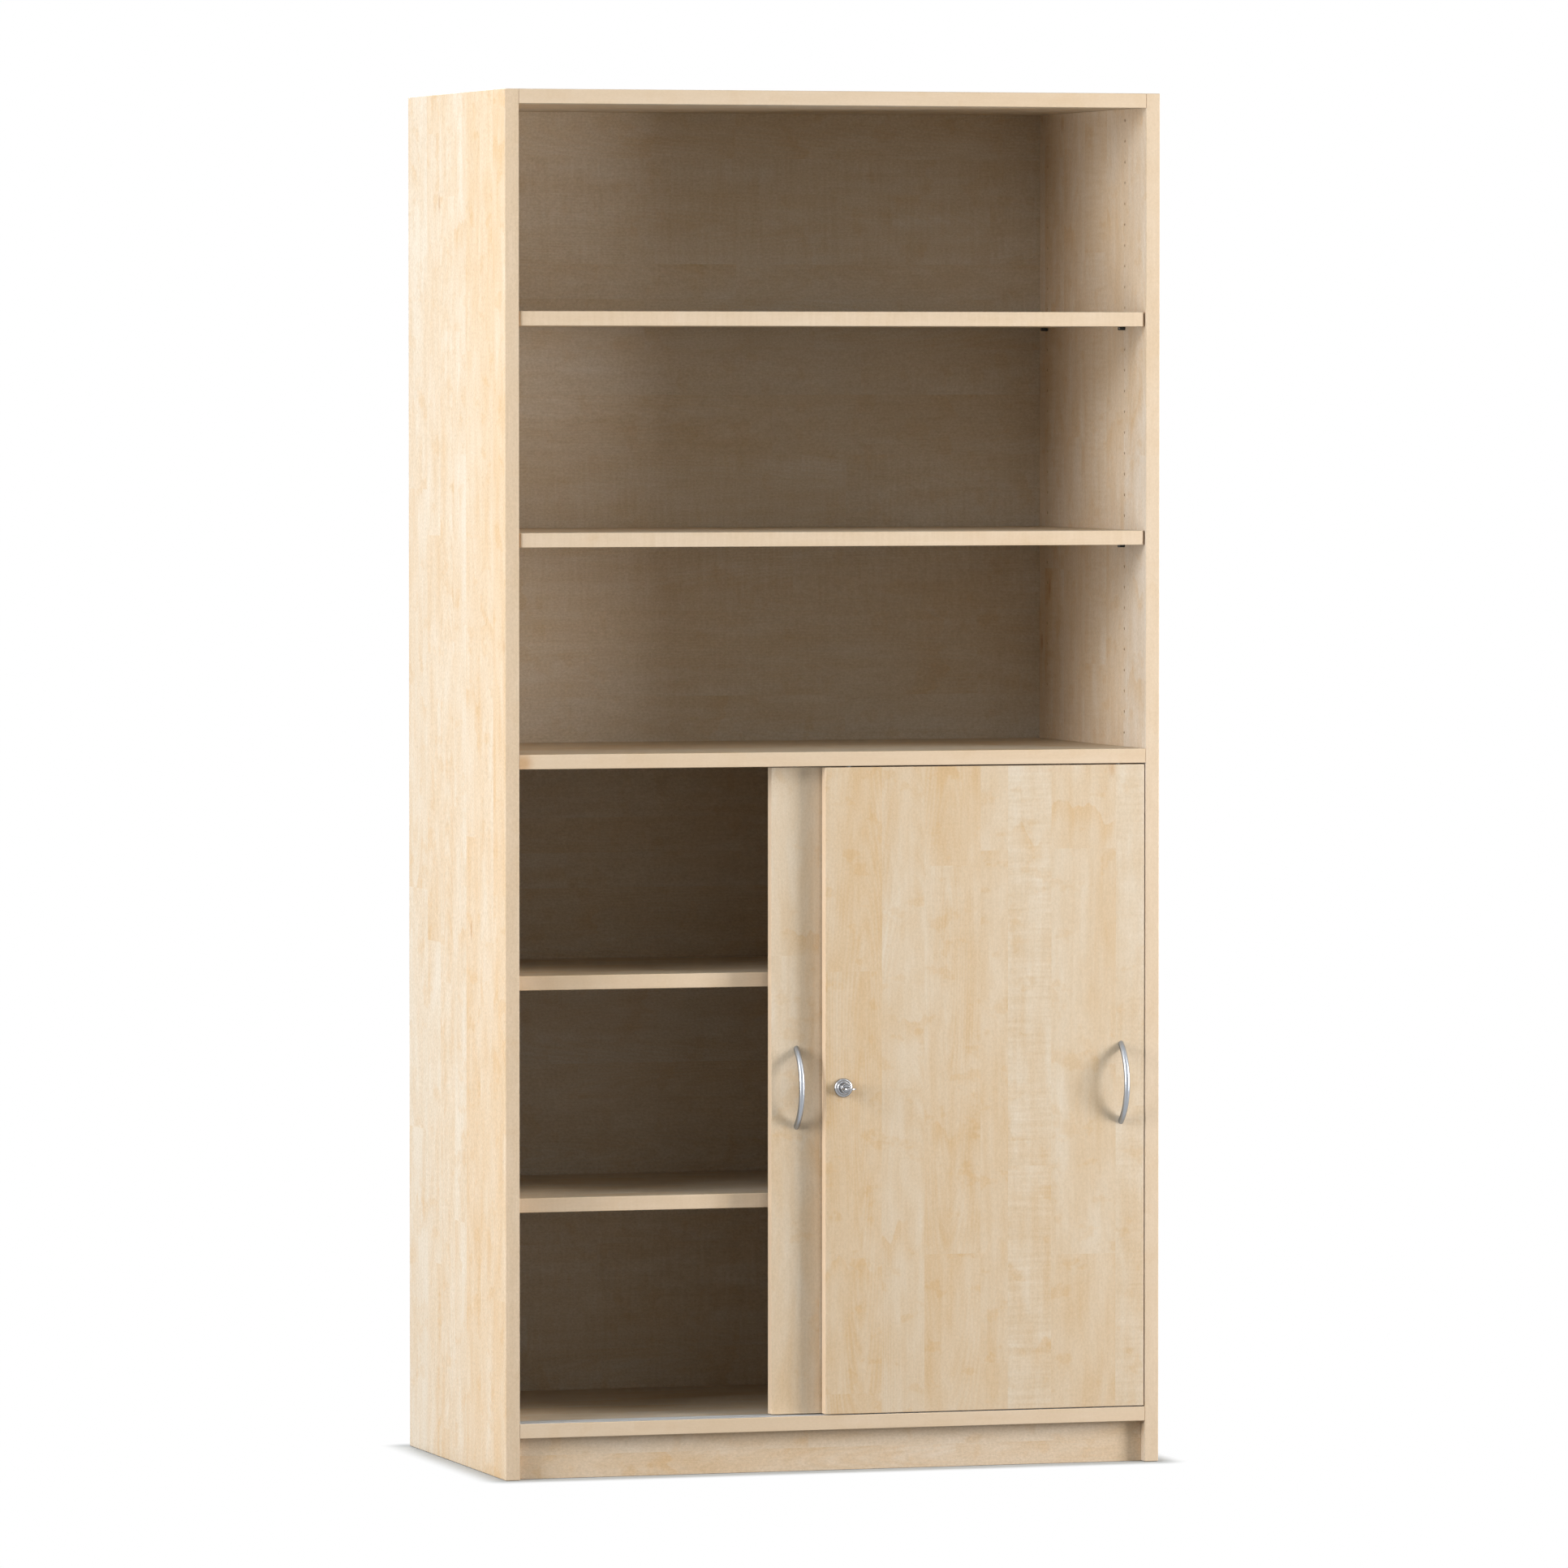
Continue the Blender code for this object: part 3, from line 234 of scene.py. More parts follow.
# Metal: waves in a metre of the brush lines, along and across, and of the smudges; detail and
# roughness of each, how much it changes the tone, the darkest and lightest tone, and how much
# both change the roughness
BRUSH_ALONG = 60.0
BRUSH_ACROSS = 2600.0
BRUSH_NOISE = (3.0, 0.6)
BRUSH_TONE = 0.8
SMUDGES = 90.0
SMUDGE_NOISE = (3.0, 0.5)
SMUDGE_TONE = 0.5
METAL_TONES = (0.86, 1.12)
METAL_UNEVEN = 0.10

# Plastic: waves in a metre of the orange peel and of the clouds, detail and roughness of each,
# the darkest and lightest tone, and how much the peel changes the roughness
PEEL = 900.0
PEEL_NOISE = (3.0, 0.6)
PEEL_ROUGH = 0.25
PLASTIC_CLOUDS = 60.0
PLASTIC_CLOUD_NOISE = (2.0, 0.5)
PLASTIC_TONES = (0.85, 1.15)

# Bow handle: a round bar bent to an arc, told from the door's face
BOW_CHORD = 0.117
BOW_REACH = 0.0285
BOW_RADIUS = 0.0045
BOW_STEPS = 72
BOW_SIDES = 28

# Turned rosette of the lock: radius and height over the door's face, from its bore outwards
ROSETTE_OUTLINE = (
    (0.00810, 0.00170),
    (0.00810, 0.00570),
    (0.00835, 0.00595),
    (0.00880, 0.00590),
    (0.00955, 0.00555),
    (0.01020, 0.00505),
    (0.01060, 0.00460),
    (0.01080, 0.00430),
    (0.01100, 0.00395),
    (0.01120, 0.00390),
    (0.01140, 0.00405),
    (0.01200, 0.00395),
    (0.01275, 0.00365),
    (0.01340, 0.00320),
    (0.01395, 0.00265),
    (0.01435, 0.00205),
    (0.01462, 0.00140),
    (0.01470, 0.00080),
    (0.01470, 0.00010),
    (0.01210, 0.00010),
    (0.01210, 0.00170),
)
TURNED_SIDES = 96

# Spring behind the lock's cylinder: radius and turns of its wire, and steps in a turn and sides
# round the wire
SPRING_WIRE = 0.00035
SPRING_TURNS = 3
SPRING_STEPS = 40
SPRING_SIDES = 10

# Rounding of the lock's other edges, and the angles under which faces count as one round face or
# as one flat face
ROUNDED = 0.0003
ROUNDED_STEPS = 3
WELD = 0.000002
SMOOTH_UNDER = math.radians(38)
FLAT_UNDER = 0.01


class Finish:
    """The node tree of one material, with short ways to add to it."""

    def __init__(self, name):
        self.material = bpy.data.materials.new(name)
        self.material.use_nodes = True
        self.tree = self.material.node_tree
        self.shader = self.tree.nodes["Principled BSDF"]
        self.place = self.add("ShaderNodeTexCoord").outputs["Object"]

    def add(self, kind, **settings):
        made = self.tree.nodes.new(kind)
        for name, value in settings.items():
            setattr(made, name, value)
        return made

    def put(self, value, socket):
        """Links an output, or sets a plain value."""
        if isinstance(value, bpy.types.NodeSocket):
            self.tree.links.new(value, socket)
        else:
            socket.default_value = value

    def math(self, operation, *values, clamp=False):
        made = self.add("ShaderNodeMath", operation=operation, use_clamp=clamp)
        for value, socket in zip(values, made.inputs):
            self.put(value, socket)
        return made.outputs[0]

    def plus(self, first, second, clamp=False):
        return self.math("ADD", first, second, clamp=clamp)

    def minus(self, first, second):
        return self.math("SUBTRACT", first, second)

    def times(self, first, second):
        return self.math("MULTIPLY", first, second)

    def times_plus(self, first, second, third):
        return self.math("MULTIPLY_ADD", first, second, third)

    def hypotenuse(self, first, second):
        squares = self.plus(self.times(first, first), self.times(second, second))
        return self.math("SQRT", squares)

    def join(self, x, y, z):
        made = self.add("ShaderNodeCombineXYZ")
        for value, socket in zip((x, y, z), made.inputs):
            self.put(value, socket)
        return made.outputs[0]

    def split(self, vector):
        made = self.add("ShaderNodeSeparateXYZ")
        self.put(vector, made.inputs[0])
        return made.outputs

    def stretch(self, parts, waves):
        """The parts as one vector, each times its waves in a metre."""
        return self.join(*(self.times(part, wave) for part, wave in zip(parts, waves)))

    def noise(self, vector, detail=2.0, roughness=0.5):
        """Smooth noise round zero."""
        made = self.add("ShaderNodeTexNoise", noise_dimensions="3D")
        self.put(vector, made.inputs["Vector"])
        made.inputs["Scale"].default_value = 1.0
        made.inputs["Detail"].default_value = detail
        made.inputs["Roughness"].default_value = roughness
        return self.math("SUBTRACT", made.outputs[0], 0.5)

    def cells(self, dimensions, where):
        """The outputs of a cell pattern, along a line (1D) or in space (3D)."""
        made = self.add("ShaderNodeTexVoronoi", voronoi_dimensions=dimensions, feature="F1")
        self.put(where, made.inputs["W" if dimensions == "1D" else "Vector"])
        made.inputs["Scale"].default_value = 1.0
        return made.outputs

    def map(self, value, low, high, to_low=0.0, to_high=1.0, smooth=True):
        made = self.add("ShaderNodeMapRange", clamp=True)
        made.interpolation_type = "SMOOTHSTEP" if smooth else "LINEAR"
        for number, socket in zip((value, low, high, to_low, to_high), made.inputs):
            self.put(number, socket)
        return made.outputs[0]

    def ramp(self, value, stops, steps=False):
        made = self.add("ShaderNodeValToRGB")
        ramp = made.color_ramp
        ramp.interpolation = "CONSTANT" if steps else "LINEAR"
        while len(ramp.elements) < len(stops):
            ramp.elements.new(1.0)
        for element, (place, colour) in zip(ramp.elements, stops):
            element.position = place
            element.color = (*colour, 1.0)
        self.put(value, made.inputs[0])
        return made.outputs[0]

    def between_tones(self, tone, colour, tones):
        """The colour from its darkest to its lightest tone."""
        ends = [[min(1.0, times * v) for v in colour] for times in tones]
        return self.ramp(tone, tuple(zip((0.0, 1.0), ends)))

    def mix(self, share, first, second, blend="MIX"):
        made = self.add("ShaderNodeMix", data_type="RGBA", blend_type=blend)
        sockets = [s for s in made.inputs if s.enabled]
        for value, socket in zip((share, first, second), sockets):
            if not isinstance(value, bpy.types.NodeSocket) and socket.type == "RGBA":
                value = (*value, 1.0)
            self.put(value, socket)
        return [s for s in made.outputs if s.enabled][0]

    def bump(self, height, distance, strength):
        made = self.add("ShaderNodeBump")
        made.inputs["Strength"].default_value = strength
        made.inputs["Distance"].default_value = distance
        self.put(height, made.inputs["Height"])
        self.put(made.outputs[0], self.shader.inputs["Normal"])

    def wear(self, *objects):
        """Puts the material on each object."""
        for thing in objects:
            thing.data.materials.clear()
            thing.data.materials.append(self.material)


class Veneer(Finish):
    """Maple veneer of a board: grain along one axis, glued staves side by side along another."""

    def __init__(self, name, grain, across, places, tones, ripples):
        super().__init__(name + "_maple")
        low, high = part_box(name)
        self.first, self.last = low[AXES[across]], high[AXES[across]]
        self.start, self.end = low[AXES[grain]], high[AXES[grain]]
        self.through = AXES[({"X", "Y", "Z"} - {grain, across}).pop()]
        parts = self.split(self.place)
        # the place in metres along the grain, across it and through the board
        self.a, self.c, self.d = (parts[i] for i in (AXES[grain], AXES[across], self.through))
        self.read_staves(random.Random(name), places, tones, ripples)
        self.cut_parts()

    def read_staves(self, dice, places, tones, ripples):
        """What the stave at each place is like: its tone, seed, rings, pith, curl and reach."""
        places = places or self.draw_places(dice)
        tones = tones or [dice.uniform(*STAVE_TONES) for _ in places]
        wide, length = self.last - self.first, self.end - self.start
        looks, piths = [], []
        for i, place in enumerate(places):
            share = max(0.0, (place - self.first) / wide)
            end = places[i + 1] if i + 1 < len(places) else self.last
            ripply = ripples[i] if ripples else dice.random() ** 2
            looks.append((share, (tones[i], dice.random(), dice.random())))
            pith = (place + end) / 2 + dice.uniform(-PITH_STRAY, PITH_STRAY)
            reach = self.start + dice.uniform(*PITH_REACH) * length
            pith_share, reach_share = (pith - self.first) / wide, reach / RAMP_SPAN + 0.5
            piths.append((share, (pith_share, ripply, reach_share)))
        over = self.map(self.c, self.first, self.last, smooth=False)
        self.tone, self.seed, self.flat = self.split(self.ramp(over, looks, steps=True))
        self.pith, self.ripply, self.reach = self.split(self.ramp(over, piths, steps=True))

    def draw_places(self, dice):
        """Where the staves begin, from one of the board's edges to the other."""
        places = [self.first]
        while True:
            width = dice.choice(STAVE_WIDTHS)
            if places[-1] + width > self.last - STAVE_LEAST:
                return places
            places.append(places[-1] + width)

    def cut_parts(self):
        """Cuts each stave from another place in the tree, and joins it from shorter parts."""
        along = self.times(self.a, PARTS_A_METRE)
        part = self.cells("1D", self.plus(along, self.times(self.seed, PART_SEED)))
        self.part = self.minus(self.split(part["Color"])[0], 0.5)
        jump = self.times(self.times_plus(self.part, PART_JUMP, self.seed), STAVE_JUMP)
        self.a_here = self.plus(self.a, jump)
        self.d_here = self.plus(self.d, self.times(jump, JUMP_THROUGH))
        along, wide = self.times(self.a_here, SWAY_ALONG), self.times(self.c, SWAY_ACROSS)
        sway = self.noise(self.join(along, wide, self.d_here))
        self.c_here = self.plus(self.c, self.times(sway, SWAY))

    def grained(self, along, wide, detail=2.0, roughness=0.5):
        """Noise with so many waves in a metre along the grain and across it."""
        here = (self.a_here, self.c_here, self.d_here)
        return self.noise(self.stretch(here, (along, wide, wide)), detail, roughness)

    def flames(self):
        """Orange flames that begin at a sharp edge across the grain and fade out along it."""
        along = self.times_plus(self.seed, FLAME_SEED, self.times(self.a_here, FLAMES_A_METRE))
        along = self.times_plus(self.grained(*FLAME_SHIFT), FLAME_SHIFT_BY, along)
        flame = self.cells("1D", along)
        past = self.minus(flame["W"], along)
        flames = self.times(self.map(past, *FLAME_BEGINS), self.map(past, *FLAME_ENDS))
        flames = self.times(flames, self.map(self.split(flame["Color"])[0], *FLAME_DRAWN))
        return self.times(flames, self.map(self.grained(*FLAME_PLACES), *FLAME_ON))

    def rings(self, off_pith):
        """Growth rings round a pith that leans towards the face."""
        reach = self.times(self.minus(self.reach, 0.5), RAMP_SPAN)
        lean = self.times(self.minus(self.a, reach), PITH_SLOPE)
        lean = self.plus(lean, self.times(self.grained(*LEAN), LEAN_BY))
        radius = self.hypotenuse(off_pith, lean)
        radius = self.times_plus(self.grained(*RING_SHIFT), RING_SHIFT_BY, radius)
        wave = self.math("SINE", self.times(radius, math.tau / RING_STEP))
        drawn = self.map(self.flat, *RING_DRAWN)
        where = self.times(drawn, self.map(self.grained(*RING_PLACES), *RING_ON))
        rings = self.minus(self.map(wave, *RING_LIGHT), self.map(wave, *RING_DARK))
        return self.times(rings, where)

    def layers(self):
        """Every layer of the figure that the colour and the light are added up from."""
        curl_where = self.map(self.plus(self.grained(*CURL_PLACES), self.ripply), *CURL_ON)
        pith = self.map(self.pith, 0.0, 1.0, self.first, self.last, smooth=False)
        off_pith = self.minus(self.c_here, pith)
        return {
            "part": self.part,
            "off_pith": off_pith,
            "cloud": self.grained(*CLOUD),
            "patch": self.grained(*PATCH),
            "streak": self.grained(*STREAK),
            "curl": self.times(self.grained(*CURL), curl_where),
            "blotch": self.map(self.grained(*BLOTCH), *BLOTCH_ON),
            "flames": self.flames(),
            "ring": self.rings(off_pith),
        }

    def knot(self):
        """1 in a small knot."""
        here = (self.a_here, self.c_here, self.d_here)
        knots = self.cells("3D", self.stretch(here, KNOTS_A_METRE))
        return self.map(knots["Distance"], *KNOT_ON)

    def face(self):
        """1 on the board's two faces, 0 on its edges."""
        normal = self.split(self.add("ShaderNodeNewGeometry").outputs["Normal"])
        return self.map(self.math("ABSOLUTE", normal[self.through]), *FACE_ON)

    def total(self, start, amounts, layers):
        """The start plus each layer times its amount."""
        for name, amount in amounts.items():
            start = self.times_plus(layers[name], amount, start)
        return start


def maple(
    name,
    grain,
    across,
    places=None,
    tones=None,
    ripples=None,
    painted_shading=WHITE,
    fine=1.0,
    warmth=1.0,
):
    """Puts maple veneer on a board.

    places, tones and ripples say where each stave begins, how creamy it is and how curly. Those
    that aren't given are drawn, from the board's name as the seed. The two faces' colour is
    multiplied by the painted light or shade given for the board, which stands in for how light
    falls on it. fine scales the fine grain, and warmth the change between orange and cream.
    """
    look = Veneer(name, grain, across, places, tones, ripples)
    layers = look.layers()
    face = look.face()
    cream = look.total(look.minus(look.tone, 0.5), CREAM_LAYERS, layers)
    cream = look.times_plus(cream, look.map(face, 0.0, 1.0, EDGE_CREAM, warmth), 0.5)
    mottle_share = look.map(face, 0.0, 1.0, EDGE_MOTTLE, 1.0)
    layers["mottle"] = look.times(look.grained(*MOTTLE), mottle_share)
    layers["line"] = look.grained(*LINE)
    fine_layers = {layer: amount * fine for layer, amount in FINE_LAYERS.items()}
    layers["light"] = look.total(0.5, {**fine_layers, **LIGHT_LAYERS}, layers)
    light_share = look.map(face, 0.0, 1.0, EDGE_LIGHT, 1.0)
    shade = look.times_plus(look.minus(layers["light"], 0.5), light_share, 0.5)

    colour = look.mix(cream, MAPLE_ORANGE, MAPLE_CREAM)
    colour = look.mix(1.0, colour, look.mix(shade, GRAIN_DARKER, GRAIN_LIGHTER), "MULTIPLY")
    colour = look.mix(look.knot(), colour, look.mix(1.0, colour, KNOT_TINT, "MULTIPLY"))
    # painted light and shade: the faces are multiplied by the board's painted shading, the edges
    # by the edge tint
    colour = look.mix(1.0, colour, look.mix(face, EDGE_TINT, painted_shading), "MULTIPLY")
    rough = look.times_plus(layers["streak"], MAPLE_ROUGH_BY_STREAK, MAPLE_ROUGH)
    look.put(colour, look.shader.inputs["Base Color"])
    look.put(rough, look.shader.inputs["Roughness"])
    look.shader.inputs["Specular IOR Level"].default_value = MAPLE_SPECULAR
    look.bump(look.total(0.0, RELIEF_LAYERS, layers), *MAPLE_RELIEF)
    look.wear(NODES[name])


def metal(name, colour, rough, brushed, pieces, metallic=1.0):
    """Bare metal with fine brush lines along one axis."""
    look = Finish(name)
    parts = look.split(look.place)
    waves = [BRUSH_ALONG if axis == brushed else BRUSH_ACROSS for axis in AXES]
    lines = look.noise(look.stretch(parts, waves), *BRUSH_NOISE)
    smudge = look.noise(look.stretch(parts, [SMUDGES] * 3), *SMUDGE_NOISE)
    both = look.plus(look.times(lines, BRUSH_TONE), look.times(smudge, SMUDGE_TONE))
    uneven = look.plus(look.times(lines, METAL_UNEVEN), look.times(smudge, METAL_UNEVEN))
    tones = look.between_tones(look.plus(0.5, both, clamp=True), colour, METAL_TONES)
    look.put(tones, look.shader.inputs["Base Color"])
    look.put(look.plus(rough, uneven), look.shader.inputs["Roughness"])
    look.shader.inputs["Metallic"].default_value = metallic
    look.bump(lines, *METAL_RELIEF)
    look.wear(*pieces)


def plastic(name, colour, rough, pieces):
    """Moulded plastic with a fine orange peel."""
    look = Finish(name)
    parts = look.split(look.place)
    peel = look.noise(look.stretch(parts, [PEEL] * 3), *PEEL_NOISE)
    cloud = look.noise(look.stretch(parts, [PLASTIC_CLOUDS] * 3), *PLASTIC_CLOUD_NOISE)
    tone = look.plus(0.5, look.plus(peel, cloud), clamp=True)
    tones = look.between_tones(tone, colour, PLASTIC_TONES)
    look.put(tones, look.shader.inputs["Base Color"])
    look.put(look.plus(rough, look.times(peel, PEEL_ROUGH)), look.shader.inputs["Roughness"])
    look.bump(peel, *PLASTIC_RELIEF)
    look.wear(*pieces)


def stand_in(name, node, shape):
    """A smooth piece made from a bmesh, shown in place of a CAD node and riding on its body."""
    bmesh.ops.recalc_face_normals(shape, faces=shape.faces)
    for face in shape.faces:
        face.smooth = True
    for edge in shape.edges:
        edge.smooth = len(edge.link_faces) == 2 and edge.calc_face_angle() < SMOOTH_UNDER
    mesh = bpy.data.meshes.new(name)
    shape.to_mesh(mesh)
    shape.free()
    piece = bpy.data.objects.new(name, mesh)
    bpy.context.scene.collection.objects.link(piece)
    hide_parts(node)
    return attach(piece, NODES[node]["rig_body"])


def skin(shape, rings, closed):
    """Faces between rings of vertices, one ring after another."""
    for first, second in zip(rings, rings[1:] + rings[:1] if closed else rings[1:]):
        for i in range(len(first)):
            j = (i + 1) % len(first)
            shape.faces.new((first[i], first[j], second[j], second[i]))


def make_bar(shape, sections, radius, sides):
    """A round bar with closed ends, through sections of a centre and two directions across."""
    rings = []
    for centre, one, other in sections:
        ring = []
        for i in range(sides):
            turn = math.tau * i / sides
            across = one * math.cos(turn) + other * math.sin(turn)
            ring.append(shape.verts.new(centre + across * radius))
        rings.append(ring)
    skin(shape, rings, closed=False)
    shape.faces.new(rings[0])
    shape.faces.new(rings[-1])


def make_bow(node):
    """A handle's bow, with its feet cut flat on the door's face."""
    low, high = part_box(node)
    middle = (low + high) / 2
    half_chord = BOW_CHORD / 2
    bend = (half_chord**2 + BOW_REACH**2) / (2 * BOW_REACH)
    half_angle = math.asin(half_chord / bend) + 2 * BOW_RADIUS / bend
    centre = Vector((middle.x, high.y + bend - BOW_REACH, middle.z))
    sections = []
    for i in range(BOW_STEPS + 1):
        angle = half_angle * (2 * i / BOW_STEPS - 1)
        outward = Vector((0.0, -math.cos(angle), math.sin(angle)))
        sections.append((centre + outward * bend, Vector((1.0, 0.0, 0.0)), outward))
    shape = bmesh.new()
    make_bar(shape, sections, BOW_RADIUS, BOW_SIDES)
    cut = bmesh.ops.bisect_plane(
        shape,
        geom=shape.verts[:] + shape.edges[:] + shape.faces[:],
        plane_co=(0.0, high.y, 0.0),
        plane_no=(0.0, 1.0, 0.0),
        clear_outer=True,
    )
    open_edges = [e for e in cut["geom_cut"] if isinstance(e, bmesh.types.BMEdge)]
    bmesh.ops.holes_fill(shape, edges=open_edges)
    return stand_in(node + "_bow", node, shape)


def make_rosette():
    low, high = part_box("lock_rosette")
    middle = (low + high) / 2
    face_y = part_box("front_door")[0].y
    shape = bmesh.new()
    rings = []
    for radius, height in ROSETTE_OUTLINE:
        ring = []
        for i in range(TURNED_SIDES):
            turn = math.tau * i / TURNED_SIDES
            x, z = middle.x + radius * math.cos(turn), middle.z + radius * math.sin(turn)
            ring.append(shape.verts.new((x, face_y - height, z)))
        rings.append(ring)
    skin(shape, rings, closed=True)
    return stand_in("lock_rosette_turned", "lock_rosette", shape)


def make_rounded(node):
    """The node's own shape with its hard edges rounded and its round faces smooth."""
    shape = bmesh.new()
    shape.from_mesh(NODES[node].data)
    bmesh.ops.remove_doubles(shape, verts=shape.verts, dist=WELD)
    inner = [e for e in shape.edges if len(e.link_faces) == 2]
    flat = [e for e in inner if e.calc_face_angle() < FLAT_UNDER]
    bmesh.ops.dissolve_edges(shape, edges=flat, use_verts=False)
    inner = [e for e in shape.edges if len(e.link_faces) == 2]
    bmesh.ops.bevel(
        shape,
        geom=[e for e in inner if e.calc_face_angle() > SMOOTH_UNDER],
        offset=ROUNDED,
        segments=ROUNDED_STEPS,
        profile=0.5,
        affect="EDGES",
        clamp_overlap=True,
    )
    return stand_in(node + "_rounded", node, shape)


def make_spring():
    """The coil behind the lock's cylinder, at its rest length: nothing here shortens it as the
    cylinder is pushed in.
    """
    low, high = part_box("lock_spring")
    middle = (low + high) / 2
    radius = (high.x - low.x) / 2 - SPRING_WIRE
    rise = high.y - low.y - 2 * SPRING_WIRE
    steps = SPRING_TURNS * SPRING_STEPS
    sections = []
    for i in range(steps + 1):
        angle = math.tau * i / SPRING_STEPS
        outward = Vector((math.cos(angle), 0.0, math.sin(angle)))
        axis_place = Vector((middle.x, high.y - SPRING_WIRE - rise * i / steps, middle.z))
        sections.append((axis_place + outward * radius, outward, Vector((0.0, 1.0, 0.0))))
    shape = bmesh.new()
    make_bar(shape, sections, SPRING_WIRE, SPRING_SIDES)
    spring = stand_in("lock_spring_coil", "lock_spring", shape)
    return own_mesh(spring)


def dress_boards():
    maple(
        "left_side",
        grain="Z",
        across="Y",
        places=[-0.263, -0.196, -0.120, -0.038, 0.030, 0.112, 0.190],
        tones=[0.36, 0.49, 0.45, 0.62, 0.55, 0.60, 0.74],
        ripples=[0.1, 0.2, 0.1, 0.1, 0.3, 0.1, 0.1],
        fine=2.3,
        warmth=1.2,
    )
    # painted light: the right side's faces are cooler than its wood, standing in for cooler light
    # inside the compartments
    maple("right_side", grain="Z", across="Y", painted_shading=(1.0, 1.03, 1.10), fine=1.6)
    for name in (
        "top_panel",
        "middle_panel",
        "bottom_panel",
        "open_shelf_upper",
        "open_shelf_lower",
        "door_shelf_upper",
        "door_shelf_lower",
    ):
        # painted shade on the faces of the horizontal boards, darker and cooler than the wood
        maple(name, grain="X", across="Y", painted_shading=SHELF_PAINTED_SHADE)
    # painted light: the plinth's faces are lighter and cooler than its wood, standing in for light
    # on the plinth
    maple(
        "plinth",
        grain="X",
        across="Z",
        places=[0.0, 0.035],
        tones=[0.42, 0.58],
        ripples=[0.1, 0.3],
        painted_shading=(1.05, 1.05, 1.08),
        fine=1.5,
        warmth=0.8,
    )
    # painted shade: the back panel's faces are darker and cooler than its wood, standing in for
    # the shade at the back of the compartments
    maple("back_panel", grain="X", across="Z", painted_shading=(0.88, 0.96, 1.08), fine=2.0, warmth=0.6)
    maple(
        "front_door",
        grain="Z",
        across="X",
        places=[-0.0155, 0.073, 0.142, 0.232, 0.276, 0.345, 0.450],
        tones=[0.33, 0.48, 0.42, 0.46, 0.60, 0.52, 0.66],
        ripples=[0.15, 0.0, 0.20, 0.15, 0.8, 0.1, 0.5],
    )
    maple("rear_door", grain="Z", across="X")


def dress_fittings():
    def named(*words):
        """The CAD nodes with one of the words in their names."""
        return [node for name, node in NODES.items() if any(word in name for word in words)]

    metal(
        "satin_handle",
        colour=(0.36, 0.385, 0.42),
        rough=0.33,
        brushed="Z",
        pieces=[make_bow("front_handle"), make_bow("rear_handle")],
    )
    metal(
        "anodised_track",
        colour=(0.70, 0.72, 0.74),
        rough=0.42,
        brushed="X",
        pieces=named("_track"),
        metallic=0.4,
    )
    metal(
        "zinc_plated",
        colour=(0.50, 0.51, 0.53),
        rough=0.34,
        brushed="X",
        pieces=[*named("_handle_screw_", "_housing", "_axle"), make_spring()],
    )
    metal(
        "lock_nickel",
        colour=(0.33, 0.335, 0.35),
        rough=0.25,
        brushed="Z",
        pieces=[
            make_rosette(),
            make_rounded("lock_cylinder"),
            make_rounded("lock_plug"),
            make_rounded("lock_key"),
        ],
    )
    metal(
        "lock_inside",
        colour=(0.48, 0.48, 0.49),
        rough=0.30,
        brushed="Z",
        pieces=named("lock_case", "strike_bush"),
    )
    plastic("dark_pin", colour=(0.030, 0.032, 0.030), rough=0.42, pieces=named("_pin_"))
    plastic(
        "nylon_grey", colour=(0.33, 0.33, 0.32), rough=0.48, pieces=named("_wheel", "_guide_")
    )


def seen_share(tree):
    """1 for rays that the background shows white to: from the camera, or off gloss or glass."""
    path = tree.nodes.new("ShaderNodeLightPath")
    share = path.outputs["Is Camera Ray"]
    for name in ("Is Glossy Ray", "Is Transmission Ray"):
        higher = tree.nodes.new("ShaderNodeMath")
        higher.operation = "MAXIMUM"
        tree.links.new(share, higher.inputs[0])
        tree.links.new(path.outputs[name], higher.inputs[1])
        share = higher.outputs[0]
    return share


def make_world():
    world = bpy.data.worlds.new("studio")
    bpy.context.scene.world = world
    world.use_nodes = True
    tree = world.node_tree
    ambient = tree.nodes["Background"]
    ambient.inputs["Color"].default_value = (*AMBIENT_COLOUR, 1.0)
    ambient.inputs["Strength"].default_value = AMBIENT_STRENGTH
    seen = tree.nodes.new("ShaderNodeBackground")
    seen.inputs["Color"].default_value = (*WHITE, 1.0)
    seen.inputs["Strength"].default_value = 1.0
    mix = tree.nodes.new("ShaderNodeMixShader")
    tree.links.new(seen_share(tree), mix.inputs[0])
    tree.links.new(ambient.outputs[0], mix.inputs[1])
    tree.links.new(seen.outputs[0], mix.inputs[2])
    tree.links.new(mix.outputs[0], tree.nodes["World Output"].inputs[0])


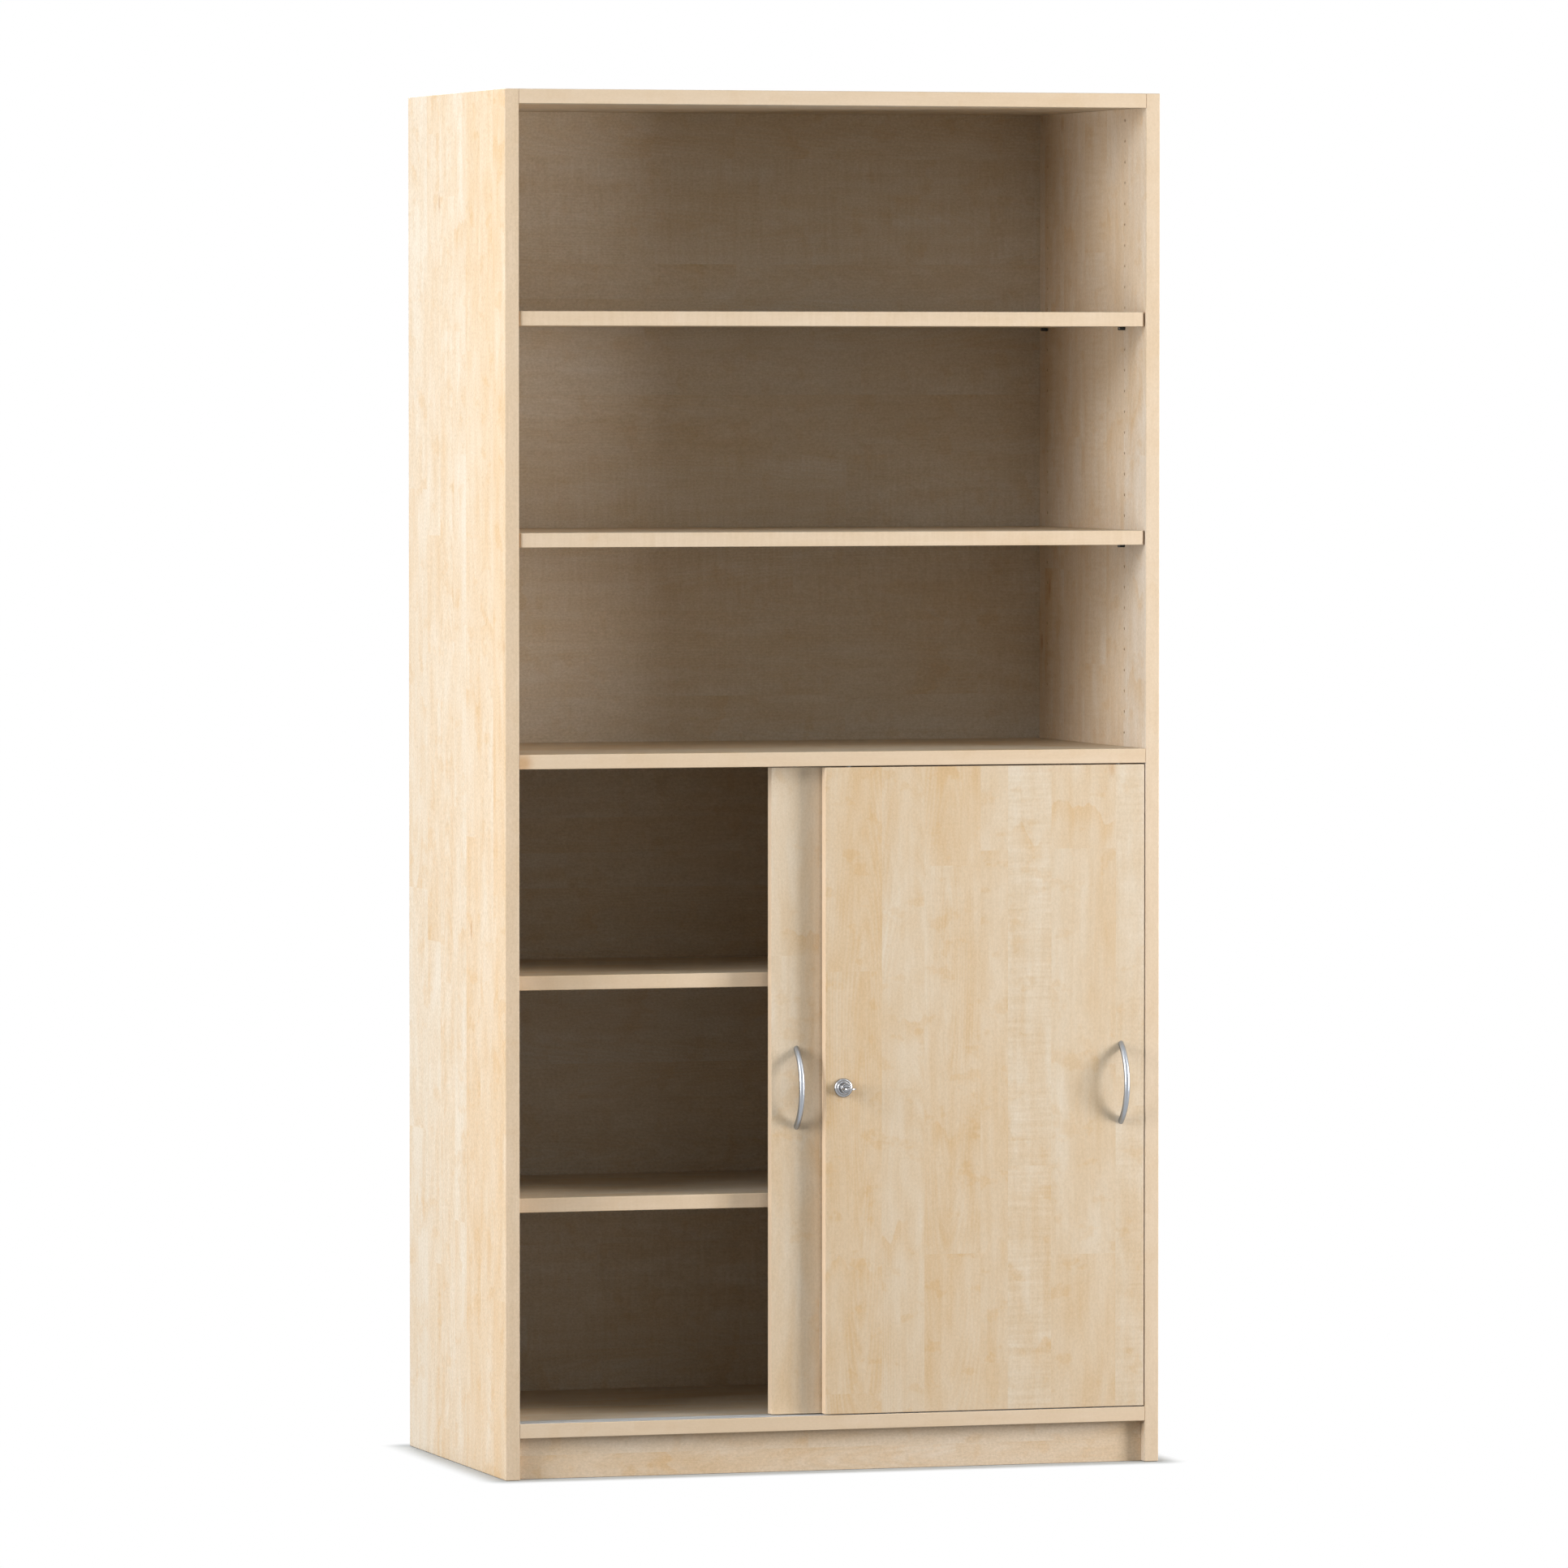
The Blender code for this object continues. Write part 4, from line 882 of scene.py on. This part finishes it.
def make_floor():
    """A round floor that keeps the soft shadow near the cabinet and fades out into white."""
    mesh = bpy.data.meshes.new("studio_floor")
    shape = bmesh.new()
    bmesh.ops.create_circle(shape, cap_ends=True, segments=FLOOR_SIDES, radius=FLOOR_RADIUS)
    shape.to_mesh(mesh)
    shape.free()
    floor = bpy.data.objects.new("studio_floor", mesh)
    floor.location = (0.0, 0.0, -FLOOR_DROP)
    bpy.context.scene.collection.objects.link(floor)
    look = Finish("studio_floor")
    camera_ray = look.add("ShaderNodeLightPath").outputs["Is Camera Ray"]
    colour = look.mix(camera_ray, FLOOR_TO_LIGHT, FLOOR_SEEN)
    look.put(colour, look.shader.inputs["Base Color"])
    look.shader.inputs["Roughness"].default_value = FLOOR_ROUGH
    look.shader.inputs["Specular IOR Level"].default_value = 0.0
    white = look.add("ShaderNodeEmission")
    white.inputs["Color"].default_value = (*WHITE, 1.0)
    white.inputs["Strength"].default_value = 1.0
    parts = look.split(look.place)
    left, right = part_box("left_side")[0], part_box("right_side")[1]
    beside = []
    for i in (AXES["X"], AXES["Y"]):
        past = look.math("MAXIMUM", look.minus(left[i], parts[i]), look.minus(parts[i], right[i]))
        beside.append(look.math("MAXIMUM", past, 0.0))
    faded = look.map(look.hypotenuse(*beside), 0.0, FLOOR_FADE)
    mix = look.add("ShaderNodeMixShader")
    look.put(look.times(faded, seen_share(look.tree)), mix.inputs[0])
    look.put(look.shader.outputs[0], mix.inputs[1])
    look.put(white.outputs[0], mix.inputs[2])
    look.put(mix.outputs[0], look.tree.nodes["Material Output"].inputs[0])
    look.wear(floor)


def make_lamps():
    for name, left, up, distance, width, height, watts, colour in LAMPS:
        light = bpy.data.lights.new(name, "AREA")
        light.shape = "RECTANGLE"
        light.size = width
        light.size_y = height
        light.energy = watts
        light.color = colour
        lamp = bpy.data.objects.new(name, light)
        bpy.context.scene.collection.objects.link(lamp)
        turn, lift = math.radians(left), math.radians(up)
        x, y = -math.sin(turn) * math.cos(lift), -math.cos(turn) * math.cos(lift)
        away = Vector((x, y, math.sin(lift)))
        lamp.location = LAMPS_AIM + away * distance
        lamp.rotation_euler = (-away).to_track_quat("-Z", "Y").to_euler()


def make_camera():
    data = bpy.data.cameras.new("camera")
    data.sensor_width = CAMERA_SENSOR
    data.lens = CAMERA_LENS
    data.clip_end = CAMERA_CLIP_END
    camera = bpy.data.objects.new("camera", data)
    camera.location = CAMERA_PLACE
    camera.rotation_euler = (CAMERA_PITCH, 0.0, CAMERA_YAW)
    bpy.context.scene.collection.objects.link(camera)
    bpy.context.scene.camera = camera


dress_boards()
dress_fittings()
make_world()
make_floor()
make_lamps()
make_camera()
bpy.context.scene.view_settings.view_transform = "Standard"
